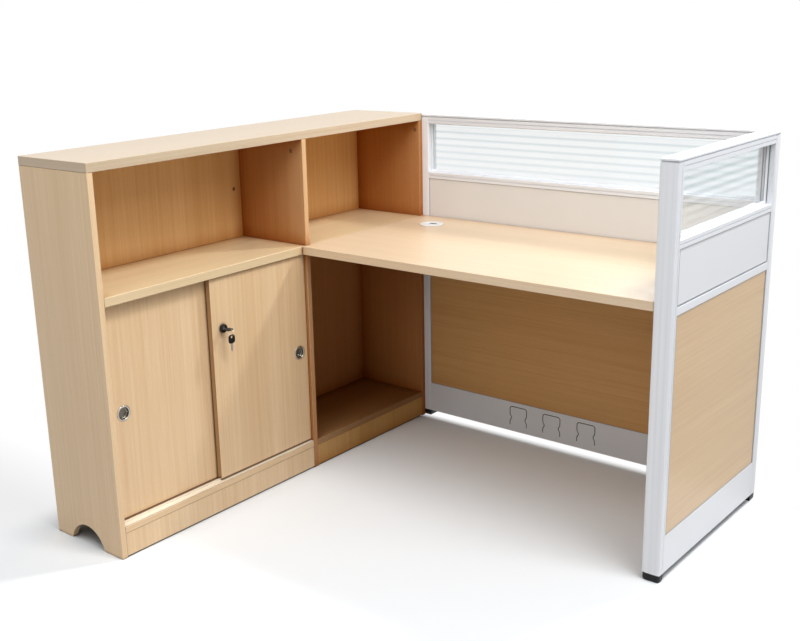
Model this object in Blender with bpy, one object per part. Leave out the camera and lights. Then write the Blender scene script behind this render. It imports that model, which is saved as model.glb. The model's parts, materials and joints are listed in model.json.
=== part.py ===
"""Partition workstation: a side cabinet with a hutch and sliding doors, a desktop and two glazed screens.

Lengths are metres. The design frame starts on the floor at the cabinet's near rear corner: X runs from the
cabinet's back to the right-hand screen, Y from the cabinet's near end to the back screen, and Z goes up.
One empty moves the whole model, so that the middle of its footprint is the world origin.
"""
import math

import bmesh
import bpy
from mathutils import Matrix, Vector

# Clearances
GAP = 0.0003
PAST = 0.002

# Boards of the cabinet and the desk
BOARD = 0.025
PANEL = 0.018
BACK = 0.016
BACK_INSET = 0.004
EDGE = 0.0008

# Cabinet
CABINET_DEPTH = 0.300
CABINET_LENGTH = 1.396
CABINET_HEIGHT = 1.100
BAY_WIDTH = 0.570
BOTTOM_Z = 0.074
PLINTH_LIFT = 0.004
PLINTH_INSET = 0.001
ARCH_WIDTH = 0.150
ARCH_HEIGHT = 0.058
ARCH_X = 0.144
INNER_SHELF_Z = 0.390
INNER_SHELF_DEPTH = 0.215

# Desktop
DESK_HEIGHT = 0.746
DESK_DEPTH = 0.623
DESK_SPAN = 1.168

# Cable grommet, placed from the cabinet front and from the back screen
GROMMET_FROM_CABINET = 0.127
GROMMET_FROM_SCREEN = 0.122
FLANGE_R = 0.040
FLANGE = 0.0022
GROMMET_R = 0.0345
GROMMET_WALL = 0.002
GROMMET_TUBE = 0.019
GROMMET_LIP = 0.002
LIP_DROP = 0.0025
CAP_PLAY = 0.0006
CAP_PROUD = 0.0012
CABLE_SLOT_LENGTH = 0.032
CABLE_SLOT_WIDTH = 0.017
CABLE_SLOT_OFFSET = 0.009

# Sliding doors
DOOR = 0.016
DOOR_OVERLAP = 0.028
DOOR_INSET = 0.010
DOOR_GAP = 0.005
DOOR_SIDE_PLAY = 0.002
DOOR_TOP_PLAY = 0.003
DOOR_BOTTOM_PLAY = 0.002
TONGUE = 0.006
TONGUE_BITE = 0.0065
TONGUE_PLAY = 0.0007

# Door tracks
TRACK_BASE = 0.0022
TRACK_FRONT_INSET = 0.002
TRACK_MARGIN = 0.004
RIB = 0.003
RIB_HEIGHT = 0.006
RIB_PLAY = 0.002
DOOR_GROOVE = 0.010
TOP_TRACK = 0.0105
CHANNEL = 0.0085

# Door rollers
ROLLER_R = 0.010
ROLLER = 0.0045
ROLLER_PLAY = 0.0008
ROLLER_ROOM = 0.002
ROLLER_SETBACK = 0.055
AXLE_R = 0.0015
AXLE = 0.0105

# Flush pulls
PULL_R = 0.022
PULL_CUP_R = 0.0185
PULL_DEPTH = 0.010
PULL_WALL = 0.0012
PULL_PROUD = 0.0014
PULL_Z = 0.405
LEFT_PULL_EDGE = 0.050
RIGHT_PULL_EDGE = 0.037

# Lock
LOCK_EDGE = 0.041
LOCK_Z = 0.564
COLLAR_R = 0.0125
COLLAR = 0.009
BARREL_R = 0.009
LOCK_END = 0.0015
PLUG_R = 0.0058
PLUG_SET_IN = 0.0004
KEYWAY_DEPTH = 0.0205

# Keys and ring
KEY = 0.003
KEY_BOW_LENGTH = 0.026
KEY_BOW_WIDTH = 0.024
KEY_BOW_ROUND = 0.008
KEY_HOLE_R = 0.0042
KEY_HOLE_EDGE = 0.0065
BLADE = 0.002
BLADE_WIDTH = 0.0074
BLADE_LENGTH = 0.022
BLADE_SHOWN = 0.003
RING_R = 0.010
RING_WIRE_R = 0.0008

# Screens
SCREEN = 0.050
SCREEN_DROP = 0.004
SIDE_LEAD = 0.0053
END_POST_WIDTH = 0.050
END_POST_LAP = 0.024
FRONT_POST_DEPTH = 0.025
FRONT_POST_ROUND = 0.004
LEAST_ROUND = 0.001
END_POST_ROUND = 0.003
CORNER_POST_LEAD = 0.019
CORNER_ROUND = 0.046
WALL = 0.002
FOOT = 0.022
FOOT_INSET = 0.001
FOOT_ROUND = 0.006
FOOT_CORNER = 0.009
FOOT_PLUG = 0.015
CAP = 0.009
CAP_NECK = 0.003
CAP_NECK_INSET = 0.006
CAP_ROUND = 0.002

# Rails and infill of the screens
TOP_RAIL = 0.021
MID_RAIL = 0.021
GLAZING_DROP = 0.197
DESK_RAIL = 0.025
DESK_RAIL_DROP = 0.008
SHADOW_STEP = 0.005
SHADOW_DEPTH = 0.008
RACEWAY_TOP = 0.127
FACE_LINE = 0.002
FACE_LINE_DEPTH = 0.003
PANEL_RECESS = 0.002
PANEL_REVEAL = 0.002
GLASS = 0.005
GLASS_BITE = 0.006
GROOVE = 0.0075
GROOVE_PLAY = 0.0004

# Knock-outs for sockets in the back raceway
KNOCKOUT_COUNT = 3
KNOCKOUT_FIRST_X = 0.373
KNOCKOUT_PITCH = 0.130
KNOCKOUT_WIDTH = 0.066
KNOCKOUT_BOTTOM = 0.050
KNOCKOUT_TOP = 0.112
KNOCKOUT_WAIST = 0.006
KNOCKOUT_WAIST_SHARE = 0.40
KNOCKOUT_WAIST_SPREAD = 0.16
KNOCKOUT_ROUND = 0.009
KNOCKOUT_SLOT = 0.003

# Steel plates and angles under the desktop
STEEL = 0.003
PLATE_LENGTH = 0.120
PLATE_WIDTH = 0.040
PLATE_FROM_DIVIDER = 0.080
PLATE_FROM_FAR_END = 0.080
ANGLE_LEG = 0.045
ANGLE_LENGTH = 0.060
ANGLE_FROM_FRONT = 0.150
ANGLE_FROM_BACK = 0.120

# Fineness of round shapes
TURN_STEPS = 32
ARC_STEPS = 8
ARCH_STEPS = 18
RING_STEPS = 28
FOOT_STEPS = 3
WIRE_STEPS = 8
SMOOTH_ANGLE = math.radians(35)

# Planes that several pieces share
SHELF_UNDER = DESK_HEIGHT - BOARD
TOP_UNDER = CABINET_HEIGHT - BOARD
BOTTOM_TOP = BOTTOM_Z + PANEL
INNER_Y0 = PANEL
INNER_Y1 = CABINET_LENGTH - PANEL
DIVIDER_Y = INNER_Y1 - BAY_WIDTH - PANEL
DOOR_WIDTH = (DIVIDER_Y - INNER_Y0 - 2 * DOOR_SIDE_PLAY + DOOR_OVERLAP) / 2
FRONT_TRACK_X = CABINET_DEPTH - DOOR_INSET - DOOR / 2
REAR_TRACK_X = FRONT_TRACK_X - DOOR - DOOR_GAP
TRACK_BACK_X = REAR_TRACK_X - DOOR / 2 - TRACK_MARGIN
TRACK_FRONT_X = CABINET_DEPTH - TRACK_FRONT_INSET
TRACK_Z = BOTTOM_TOP + GAP
RIB_TOP = TRACK_Z + TRACK_BASE + RIB_HEIGHT
DOOR_BOTTOM = TRACK_Z + TRACK_BASE + DOOR_BOTTOM_PLAY
DOOR_TOP = SHELF_UNDER - DOOR_TOP_PLAY
AXLE_Z = RIB_TOP + GAP + ROLLER_R
SIDE_X = CABINET_DEPTH + DESK_SPAN
BACK_Y = CABINET_LENGTH + GAP
DESK_FRONT = BACK_Y - GAP - DESK_DEPTH
SIDE_Y = DESK_FRONT - SIDE_LEAD
END_POST_X = CABINET_DEPTH - END_POST_LAP
BACK_X0 = END_POST_X + END_POST_WIDTH
SIDE_Y0 = SIDE_Y + FRONT_POST_DEPTH
SIDE_Y1 = BACK_Y - CORNER_POST_LEAD
SCREEN_HEIGHT = CABINET_HEIGHT - SCREEN_DROP
CAP_Z = SCREEN_HEIGHT - CAP
TOP_RAIL_Z = CAP_Z - TOP_RAIL
SILL_Z = SCREEN_HEIGHT - GLAZING_DROP
MID_RAIL_Z = SILL_Z - MID_RAIL
DESK_RAIL_TOP = DESK_HEIGHT - DESK_RAIL_DROP
DESK_RAIL_Z = DESK_RAIL_TOP - DESK_RAIL
GROOVE_HALF = GLASS / 2 + GROOVE_PLAY
GROMMET_X = CABINET_DEPTH + GROMMET_FROM_CABINET
GROMMET_Y = BACK_Y - GROMMET_FROM_SCREEN
TOTAL_X = SIDE_X + SCREEN
TOTAL_Y = BACK_Y + SCREEN

# Colour, roughness, metallic value and transmission of each finish
FINISHES = {
    "beech_laminate": ((0.72, 0.52, 0.33), 0.45, 0.0, 0.0),
    "white_aluminium": ((0.80, 0.82, 0.84), 0.35, 0.3, 0.0),
    "white_panel": ((0.86, 0.86, 0.86), 0.5, 0.0, 0.0),
    "clear_glass": ((0.85, 0.93, 0.91), 0.05, 0.0, 0.9),
    "black_plastic": ((0.02, 0.02, 0.02), 0.4, 0.0, 0.0),
    "satin_nickel": ((0.60, 0.58, 0.53), 0.28, 1.0, 0.0),
    "steel": ((0.55, 0.56, 0.58), 0.4, 1.0, 0.0),
    "white_plastic": ((0.90, 0.90, 0.89), 0.4, 0.0, 0.0),
    "cream_plastic": ((0.82, 0.68, 0.50), 0.35, 0.0, 0.0),
}


def clear_scene():
    """Remove every object of the open file."""
    for item in list(bpy.data.objects):
        bpy.data.objects.remove(item, do_unlink=True)


def make_materials():
    """Return one Principled material for each finish."""
    made = {}
    for name, (colour, roughness, metallic, transmission) in FINISHES.items():
        material = bpy.data.materials.new(name)
        material.use_nodes = True
        shader = material.node_tree.nodes["Principled BSDF"]
        shader.inputs["Base Color"].default_value = (*colour, 1.0)
        shader.inputs["Roughness"].default_value = roughness
        shader.inputs["Metallic"].default_value = metallic
        shader.inputs["Transmission Weight"].default_value = transmission
        made[name] = material
    return made


def make_root():
    """Return the empty that centres the footprint on the world origin."""
    empty = bpy.data.objects.new("workstation", None)
    empty.location = (-TOTAL_X / 2, -TOTAL_Y / 2, 0.0)
    bpy.context.collection.objects.link(empty)
    return empty


def design_place(item):
    """Return an object's origin in the design frame."""
    place = Vector(item.location)
    while item.parent is not None and item.parent != ROOT:
        item = item.parent
        place += Vector(item.location)
    return place


def link(name, shape, origin, parent):
    """Make an object of a shape drawn in the design frame, with its origin at the given point."""
    origin = Vector(origin)
    bmesh.ops.recalc_face_normals(shape, faces=shape.faces)
    bmesh.ops.translate(shape, verts=shape.verts, vec=-origin)
    mesh = bpy.data.meshes.new(name)
    shape.to_mesh(mesh)
    shape.free()
    item = bpy.data.objects.new(name, mesh)
    bpy.context.collection.objects.link(item)
    item.parent = parent
    item.location = origin if parent == ROOT else origin - design_place(parent)
    return item


def piece(name, shape, finish, origin=(0, 0, 0), parent=None, smooth=False):
    """Make one named sub-part."""
    item = link(name, shape, origin, parent or ROOT)
    item.data.materials.append(MATERIALS[finish])
    if smooth:
        item.data.shade_smooth()
        item.data.set_sharp_from_angle(angle=SMOOTH_ANGLE)
    return item


def combine(target, shape, operation):
    """Cut a shape out of a sub-part, or join it to it, with a hidden tool that follows the sub-part."""
    index = len(target.modifiers)
    tool = link(f"{target.name}_tool_{index}", shape, design_place(target), target)
    tool.hide_render = True
    tool.display_type = "WIRE"
    modifier = target.modifiers.new(f"{operation.lower()}_{index}", "BOOLEAN")
    modifier.operation = operation
    modifier.solver = "EXACT"
    modifier.object = tool


def cut(target, shape):
    combine(target, shape, "DIFFERENCE")


def join(target, shape):
    combine(target, shape, "UNION")


def at(axis, first, second, along):
    """Return the point of an outline's two values and its distance along the axis."""
    if axis == "X":
        return (along, first, second)
    if axis == "Y":
        return (first, along, second)
    return (first, second, along)


def box(x, y, z, edge=0.0):
    """Return a box between three pairs of limits, with its edges eased."""
    shape = bmesh.new()
    bmesh.ops.create_cube(shape, size=1.0)
    spans = [high - low for low, high in (x, y, z)]
    middle = [(high + low) / 2 for low, high in (x, y, z)]
    bmesh.ops.scale(shape, verts=shape.verts, vec=spans)
    bmesh.ops.translate(shape, verts=shape.verts, vec=middle)
    if edge:
        ease(shape, shape.edges[:], edge)
    return shape


def ease(shape, edges, width, segments=1):
    bmesh.ops.bevel(shape, geom=edges, offset=width, segments=segments, profile=0.5, affect="EDGES")


def prism(outline, axis, start, end):
    """Return an outline extruded along an axis."""
    shape = bmesh.new()
    first = [shape.verts.new(at(axis, a, b, start)) for a, b in outline]
    last = [shape.verts.new(at(axis, a, b, end)) for a, b in outline]
    shape.faces.new(first)
    shape.faces.new(last)
    count = len(outline)
    for i in range(count):
        j = (i + 1) % count
        shape.faces.new((first[i], first[j], last[j], last[i]))
    return shape


def stacked(layers):
    """Return outlines of equal point counts joined from one height to the next."""
    shape = bmesh.new()
    rings = [[shape.verts.new((x, y, z)) for x, y in outline] for outline, z in layers]
    shape.faces.new(rings[0])
    shape.faces.new(rings[-1])
    count = len(rings[0])
    for low, high in zip(rings, rings[1:]):
        for i in range(count):
            j = (i + 1) % count
            shape.faces.new((low[i], low[j], high[j], high[i]))
    return shape


def turned(profile, axis, centre, closed=False, steps=TURN_STEPS):
    """Return a profile of (radius, height) points turned about an axis through a centre."""
    shape = bmesh.new()
    rings = []
    for radius, height in profile:
        count = steps if radius > 0 else 1
        angles = [2 * math.pi * k / steps for k in range(count)]
        places = [at(axis, radius * math.cos(t), radius * math.sin(t), height) for t in angles]
        rings.append([shape.verts.new(Vector(place) + Vector(centre)) for place in places])
    pairs = list(zip(rings, rings[1:]))
    if closed:
        pairs.append((rings[-1], rings[0]))
    for low, high in pairs:
        for k in range(steps):
            n = (k + 1) % steps
            if len(low) == 1:
                shape.faces.new((low[0], high[n], high[k]))
            elif len(high) == 1:
                shape.faces.new((low[k], low[n], high[0]))
            else:
                shape.faces.new((low[k], low[n], high[n], high[k]))
    return shape


def rod(axis, centre, radius, low, high, steps=TURN_STEPS):
    """Return a plain round rod along an axis, between two distances from its centre point."""
    return turned([(0, low), (radius, low), (radius, high), (0, high)], axis, centre, steps=steps)


def arc(centre, radius, start, end, steps=ARC_STEPS):
    """Return the points of an arc, with angles in degrees."""
    points = []
    for k in range(steps + 1):
        angle = math.radians(start + (end - start) * k / steps)
        points.append((centre[0] + radius * math.cos(angle), centre[1] + radius * math.sin(angle)))
    return points


def rounded(x, y, radius, steps=ARC_STEPS):
    """Return the outline of a rectangle with four round corners."""
    (x0, x1), (y0, y1) = x, y
    return (
        arc((x0 + radius, y0 + radius), radius, 180, 270, steps)
        + arc((x1 - radius, y0 + radius), radius, 270, 360, steps)
        + arc((x1 - radius, y1 - radius), radius, 0, 90, steps)
        + arc((x0 + radius, y1 - radius), radius, 90, 180, steps)
    )


def arch_tool(y0, y1):
    """Return the round cut-out between the feet of an end panel."""
    half = ARCH_WIDTH / 2
    radius = (half * half + ARCH_HEIGHT * ARCH_HEIGHT) / (2 * ARCH_HEIGHT)
    rise = math.degrees(math.acos(half / radius))
    lean = rise if ARCH_HEIGHT <= radius else -rise
    centre = (ARCH_X, ARCH_HEIGHT - radius)
    outline = arc(centre, radius, lean, 180 - lean, ARCH_STEPS)
    outline += [(ARCH_X - half, -PAST), (ARCH_X + half, -PAST)]
    return prism(outline, "Y", y0 - PAST, y1 + PAST)


def build_carcass():
    """Top, end panels, shelf, dividers, bottoms, plinths and backs of the cabinet."""
    depth = (0, CABINET_DEPTH)
    near_bay = (INNER_Y0 + GAP, DIVIDER_Y - GAP)
    far_bay = (DIVIDER_Y + PANEL + GAP, INNER_Y1 - GAP)
    top = (TOP_UNDER, CABINET_HEIGHT)
    piece("cabinet_top", box(depth, (0, CABINET_LENGTH), top, EDGE), "beech_laminate")
    ends = {"near_end_panel": (0, PANEL), "far_end_panel": (INNER_Y1, CABINET_LENGTH)}
    for name, span in ends.items():
        panel = piece(name, box(depth, span, (0, TOP_UNDER - GAP), EDGE), "beech_laminate")
        cut(panel, arch_tool(*span))

    shelf_y = (INNER_Y0 + GAP, INNER_Y1 - GAP)
    shelf = piece("shelf_board", box(depth, shelf_y, (SHELF_UNDER, DESK_HEIGHT), EDGE), "beech_laminate")
    rebate_x = (TRACK_BACK_X - GAP, TRACK_FRONT_X - PAST + GAP)
    cut(shelf, box(rebate_x, (0, DIVIDER_Y), (SHELF_UNDER - PAST, SHELF_UNDER + TOP_TRACK + GAP)))

    divider_y = (DIVIDER_Y, DIVIDER_Y + PANEL)
    hutch_z = (DESK_HEIGHT + GAP, TOP_UNDER - GAP)
    cupboard_z = (BOTTOM_TOP + GAP, SHELF_UNDER - GAP)
    piece("hutch_divider", box(depth, divider_y, hutch_z, EDGE), "beech_laminate")
    piece("lower_divider", box(depth, divider_y, (0, SHELF_UNDER - GAP), EDGE), "beech_laminate")

    back_x = (BACK_INSET, BACK_INSET + BACK)
    plinth_x = (CABINET_DEPTH - PLINTH_INSET - PANEL, CABINET_DEPTH - PLINTH_INSET)
    for bay, span in {"cupboard": near_bay, "bay": far_bay}.items():
        bottom = box(depth, span, (BOTTOM_Z, BOTTOM_TOP), EDGE)
        piece(f"{bay}_bottom", bottom, "beech_laminate")
        plinth = box(plinth_x, span, (PLINTH_LIFT, BOTTOM_Z - GAP), EDGE)
        piece(f"{bay}_plinth", plinth, "beech_laminate")
        piece(f"{bay}_back", box(back_x, span, cupboard_z), "beech_laminate")
    piece("hutch_back_near", box(back_x, near_bay, hutch_z), "beech_laminate")
    piece("hutch_back_far", box(back_x, far_bay, hutch_z), "beech_laminate")

    inner_x = (BACK_INSET + BACK + GAP, BACK_INSET + BACK + INNER_SHELF_DEPTH)
    inner_z = (INNER_SHELF_Z, INNER_SHELF_Z + PANEL)
    piece("cupboard_shelf", box(inner_x, near_bay, inner_z, EDGE), "beech_laminate")


def build_tracks():
    """Channel strip let into the shelf, and ribbed strip lying on the cupboard bottom."""
    run = (INNER_Y0 + 2 * GAP, DIVIDER_Y - 2 * GAP)
    half = TONGUE / 2 + TONGUE_PLAY
    low = SHELF_UNDER
    front = TRACK_FRONT_X - PAST
    outline = [(TRACK_BACK_X, low)]
    for x in (REAR_TRACK_X, FRONT_TRACK_X):
        outline += [(x - half, low), (x - half, low + CHANNEL), (x + half, low + CHANNEL), (x + half, low)]
    outline += [(front, low), (front, low + TOP_TRACK), (TRACK_BACK_X, low + TOP_TRACK)]
    piece("top_track", prism(outline, "Y", *run), "cream_plastic")

    half = RIB / 2
    base = TRACK_Z + TRACK_BASE
    outline = [(TRACK_BACK_X, TRACK_Z), (TRACK_FRONT_X, TRACK_Z), (TRACK_FRONT_X, base)]
    for x in (FRONT_TRACK_X, REAR_TRACK_X):
        outline += [(x + half, base), (x + half, RIB_TOP), (x - half, RIB_TOP), (x - half, base)]
    outline += [(TRACK_BACK_X, base)]
    piece("bottom_track", prism(outline, "Y", *run), "cream_plastic")


def build_door(side, x, y0, pull_y):
    """One sliding door with its two rollers and its flush pull."""
    half = DOOR / 2
    rib = RIB / 2 + RIB_PLAY
    tongue = TONGUE / 2
    groove_top = DOOR_BOTTOM + DOOR_GROOVE
    tongue_top = SHELF_UNDER + TONGUE_BITE
    outline = [
        (x - half, DOOR_BOTTOM), (x - rib, DOOR_BOTTOM), (x - rib, groove_top), (x + rib, groove_top),
        (x + rib, DOOR_BOTTOM), (x + half, DOOR_BOTTOM), (x + half, DOOR_TOP), (x + tongue, DOOR_TOP),
        (x + tongue, tongue_top), (x - tongue, tongue_top), (x - tongue, DOOR_TOP), (x - half, DOOR_TOP),
    ]
    middle = (x, y0 + DOOR_WIDTH / 2, (DOOR_BOTTOM + DOOR_TOP) / 2)
    leaf = prism(outline, "Y", y0, y0 + DOOR_WIDTH)
    door = piece(f"{side}_door", leaf, "beech_laminate", middle)

    pocket = ROLLER / 2 + ROLLER_PLAY
    reach = ROLLER_R + ROLLER_ROOM
    places = {"near": y0 + ROLLER_SETBACK, "far": y0 + DOOR_WIDTH - ROLLER_SETBACK}
    for end, y in places.items():
        room = box((x - pocket, x + pocket), (y - reach, y + reach), (DOOR_BOTTOM - PAST, AXLE_Z + reach))
        cut(door, room)
        axle_hole = AXLE / 2 + GAP
        cut(door, rod("X", (x, y, AXLE_Z), AXLE_R + GAP, -axle_hole, axle_hole, ARC_STEPS * 2))
        profile = [
            (0, -AXLE / 2), (AXLE_R, -AXLE / 2), (AXLE_R, -ROLLER / 2), (ROLLER_R, -ROLLER / 2),
            (ROLLER_R, ROLLER / 2), (AXLE_R, ROLLER / 2), (AXLE_R, AXLE / 2), (0, AXLE / 2),
        ]
        wheel = turned(profile, "X", (x, y, AXLE_Z), steps=ARC_STEPS * 3)
        piece(f"{side}_door_roller_{end}", wheel, "white_plastic", (x, y, AXLE_Z), door, smooth=True)

    face = x + half
    cut(door, rod("X", (face, pull_y, PULL_Z), PULL_CUP_R + GAP, -PULL_DEPTH - GAP, PAST))
    inner = PULL_CUP_R - PULL_WALL
    profile = [
        (0, -PULL_DEPTH), (PULL_CUP_R, -PULL_DEPTH), (PULL_CUP_R, GAP), (PULL_R, GAP),
        (PULL_R, PULL_PROUD / 2), (PULL_R - PULL_PROUD / 2, PULL_PROUD), (inner + PULL_WALL, PULL_PROUD),
        (inner, PULL_PROUD / 2), (inner, -PULL_DEPTH + 2 * PULL_WALL),
        (inner - PULL_WALL, -PULL_DEPTH + PULL_WALL), (0, -PULL_DEPTH + PULL_WALL),
    ]
    cup = turned(profile, "X", (face, pull_y, PULL_Z))
    piece(f"{side}_pull", cup, "satin_nickel", (face, pull_y, PULL_Z), door, smooth=True)
    return door


def build_doors():
    left_y = INNER_Y0 + DOOR_SIDE_PLAY
    right_y = DIVIDER_Y - DOOR_SIDE_PLAY - DOOR_WIDTH
    build_door("left", REAR_TRACK_X, left_y, left_y + LEFT_PULL_EDGE)
    right = build_door("right", FRONT_TRACK_X, right_y, right_y + DOOR_WIDTH - RIGHT_PULL_EDGE)
    build_lock(right, right_y + LOCK_EDGE)


def key_shape(place):
    """Return a key's bow and blade. The key's own axes are length, width and thickness, from the bow's end."""
    half = KEY_BOW_WIDTH / 2
    bow = prism(rounded((0, KEY_BOW_LENGTH), (-half, half), KEY_BOW_ROUND, 5), "Z", -KEY / 2, KEY / 2)
    tip = KEY_BOW_LENGTH + BLADE_LENGTH
    blade = box((KEY_BOW_LENGTH - PAST, tip), (-BLADE_WIDTH / 2, BLADE_WIDTH / 2), (-BLADE / 2, BLADE / 2))
    hole = rod("Z", (KEY_HOLE_EDGE, 0, 0), KEY_HOLE_R, -KEY, KEY, ARC_STEPS * 2)
    for shape in (bow, blade, hole):
        bmesh.ops.transform(shape, matrix=place, verts=shape.verts)
    return bow, blade, hole


def axes(origin, length, width, thickness):
    """Return the matrix that sets a key's own axes at a point of the design frame."""
    columns = Matrix((length, width, thickness)).transposed().to_4x4()
    return Matrix.Translation(origin) @ columns


def build_lock(door, y):
    """Lock case, plug and key in the right door, with a ring and the spare key hanging from the key."""
    face = FRONT_TRACK_X + DOOR / 2
    centre = (face, y, LOCK_Z)
    cut(door, rod("X", centre, BARREL_R + GAP, -DOOR - PAST, PAST))
    rear = -DOOR + GAP
    bore = PLUG_R + GAP
    profile = [
        (0, rear), (BARREL_R, rear), (BARREL_R, GAP), (COLLAR_R, GAP), (COLLAR_R, COLLAR * 0.8),
        (COLLAR_R - COLLAR * 0.15, COLLAR), (bore, COLLAR), (bore, rear + LOCK_END), (0, rear + LOCK_END),
    ]
    piece("lock_body", turned(profile, "X", centre), "black_plastic", centre, door, smooth=True)

    plug_face = COLLAR - PLUG_SET_IN
    plug = rod("X", centre, PLUG_R, rear + LOCK_END + GAP, plug_face, ARC_STEPS * 3)
    plug = piece("lock_plug", plug, "steel", centre, door, smooth=True)
    keyway_x = (face + plug_face - KEYWAY_DEPTH, face + plug_face + PAST)
    keyway_y = (y - BLADE_WIDTH / 2 - GAP, y + BLADE_WIDTH / 2 + GAP)
    cut(plug, box(keyway_x, keyway_y, (LOCK_Z - BLADE / 2 - GAP, LOCK_Z + BLADE / 2 + GAP)))

    bow_end = face + COLLAR + BLADE_SHOWN + KEY_BOW_LENGTH
    bow, blade, hole = key_shape(axes((bow_end, y, LOCK_Z), (-1, 0, 0), (0, 1, 0), (0, 0, 1)))
    key = piece("lock_key", bow, "black_plastic", centre, plug)
    join(key, blade)
    cut(key, hole)

    # The ring goes through the bow's hole and hangs upright on the strip between the hole and the bow's end
    strip = KEY_HOLE_EDGE - KEY_HOLE_R
    ring_x = bow_end - strip / 2
    ring_z = LOCK_Z + KEY / 2 + GAP - math.sqrt((RING_R - RING_WIRE_R) ** 2 - (strip / 2) ** 2)
    profile = arc((RING_R, 0), RING_WIRE_R, 0, 360, WIRE_STEPS)[:-1]
    loop = turned(profile, "Y", (ring_x, y, ring_z), closed=True, steps=RING_STEPS)
    ring = piece("key_ring", loop, "steel", (ring_x, y, LOCK_Z), key, smooth=True)

    # The spare key's hole rests on the lowest point of the ring
    ring_low = ring_z - RING_R
    spare_top = ring_low + RING_WIRE_R + GAP + strip
    bow, blade, hole = key_shape(axes((ring_x, y, spare_top), (0, 0, -1), (0, 1, 0), (1, 0, 0)))
    spare = piece("spare_key", bow, "black_plastic", (ring_x, y, ring_low), ring)
    join(spare, blade)
    cut(spare, hole)


def build_desk():
    """Desktop with its cable grommet, and the steel that joins it to the cabinet and the side screen."""
    span_x = (CABINET_DEPTH + GAP, SIDE_X - GAP)
    span_y = (DESK_FRONT, BACK_Y - GAP)
    desk = piece("desktop", box(span_x, span_y, (SHELF_UNDER, DESK_HEIGHT), EDGE), "beech_laminate")
    centre = (GROMMET_X, GROMMET_Y, DESK_HEIGHT)
    cut(desk, rod("Z", centre, GROMMET_R + GAP, -BOARD - PAST, PAST))

    inner = GROMMET_R - GROMMET_WALL
    lip_top = FLANGE - LIP_DROP - CAP_PROUD
    profile = [
        (FLANGE_R, GAP), (FLANGE_R, FLANGE / 2), (FLANGE_R - FLANGE, FLANGE), (inner, FLANGE),
        (inner, lip_top), (inner - GROMMET_LIP, lip_top), (inner - GROMMET_LIP, lip_top - GROMMET_LIP),
        (inner, lip_top - GROMMET_LIP), (inner, -GROMMET_TUBE), (GROMMET_R, -GROMMET_TUBE), (GROMMET_R, GAP),
    ]
    ring = turned(profile, "Z", centre, closed=True)
    piece("grommet_body", ring, "white_plastic", centre, smooth=True)

    radius = inner - CAP_PLAY
    low = lip_top + GAP
    high = FLANGE - CAP_PROUD / 2
    disc = turned([(0, low), (radius, low), (radius, high), (0, high)], "Z", centre)
    cap = piece("grommet_cap", disc, "white_plastic", centre, smooth=True)
    length = CABLE_SLOT_LENGTH / 2
    width = CABLE_SLOT_WIDTH / 2
    slot_x = (GROMMET_X - length, GROMMET_X + length)
    slot_y = (GROMMET_Y + CABLE_SLOT_OFFSET - width, GROMMET_Y + CABLE_SLOT_OFFSET + width)
    slot = rounded(slot_x, slot_y, width * 0.98, ARC_STEPS // 2)
    cut(cap, prism(slot, "Z", DESK_HEIGHT + low - PAST, DESK_HEIGHT + high + PAST))

    under = SHELF_UNDER - GAP
    plate_x = (CABINET_DEPTH - PLATE_LENGTH / 2, CABINET_DEPTH + PLATE_LENGTH / 2)
    near = DIVIDER_Y + PANEL + PLATE_FROM_DIVIDER
    far = INNER_Y1 - PLATE_FROM_FAR_END - PLATE_WIDTH
    for name, y in {"near": near, "far": far}.items():
        plate = box(plate_x, (y, y + PLATE_WIDTH), (under - STEEL, under))
        piece(f"joining_plate_{name}", plate, "steel")

    wall = SIDE_X - GAP
    angle = [
        (wall - ANGLE_LEG, under), (wall - ANGLE_LEG, under - STEEL), (wall - STEEL, under - STEEL),
        (wall - STEEL, under - ANGLE_LEG), (wall, under - ANGLE_LEG), (wall, under),
    ]
    near = DESK_FRONT + ANGLE_FROM_FRONT
    far = BACK_Y - ANGLE_FROM_BACK - ANGLE_LENGTH
    for name, y in {"near": near, "far": far}.items():
        piece(f"side_angle_{name}", prism(angle, "Y", y, y + ANGLE_LENGTH), "steel")


def front_outline(inset, bend=FRONT_POST_ROUND):
    """Return the front post's outline, drawn in by an inset, without its glazing groove."""
    x0, x1 = SIDE_X + inset, SIDE_X + SCREEN - inset
    y0, y1 = SIDE_Y + inset, SIDE_Y0 - inset
    radius = max(bend - inset, LEAST_ROUND)
    corners = arc((x0 + radius, y0 + radius), radius, 180, 270)
    corners += arc((x1 - radius, y0 + radius), radius, 270, 360)
    return corners, (x0, x1, y0, y1)


def build_front_post(z):
    corners, (x0, x1, y0, y1) = front_outline(0)
    middle = (x0 + x1) / 2
    floor = y1 - GROOVE
    groove = [(middle + GROOVE_HALF, y1), (middle + GROOVE_HALF, floor)]
    groove += [(middle - GROOVE_HALF, floor), (middle - GROOVE_HALF, y1)]
    outline = corners + [(x1, y1)] + groove + [(x0, y1)]
    post = piece("front_post", prism(outline, "Z", *z), "white_aluminium", smooth=True)
    room, (x0, x1, y0, y1) = front_outline(WALL)
    chamber = room + [(x1, floor - WALL), (x0, floor - WALL)]
    cut(post, prism(chamber, "Z", z[0] - PAST, z[1] + PAST))

    def sole(inset):
        corners, (x0, x1, y0, y1) = front_outline(inset, FOOT_CORNER)
        return corners + [(x1, y1), (x0, y1)]

    plug, (x0, x1, y0, y1) = front_outline(WALL + GAP)
    plug += [(x1, floor - WALL - GAP), (x0, floor - WALL - GAP)]
    build_foot("front_foot", sole, plug)


def corner_outline(inset, lead):
    """Return the corner post's outline, drawn in by an inset on its outer sides and a lead on its inner ones."""
    x0, x1 = SIDE_X + lead, SIDE_X + SCREEN - inset
    y0, y1 = SIDE_Y1 + lead, BACK_Y + SCREEN - inset
    radius = CORNER_ROUND - inset
    radius = min(radius, x1 - x0, y1 - y0)
    return arc((x1 - radius, y1 - radius), radius, 0, 90), (x0, x1, y0, y1)


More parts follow.
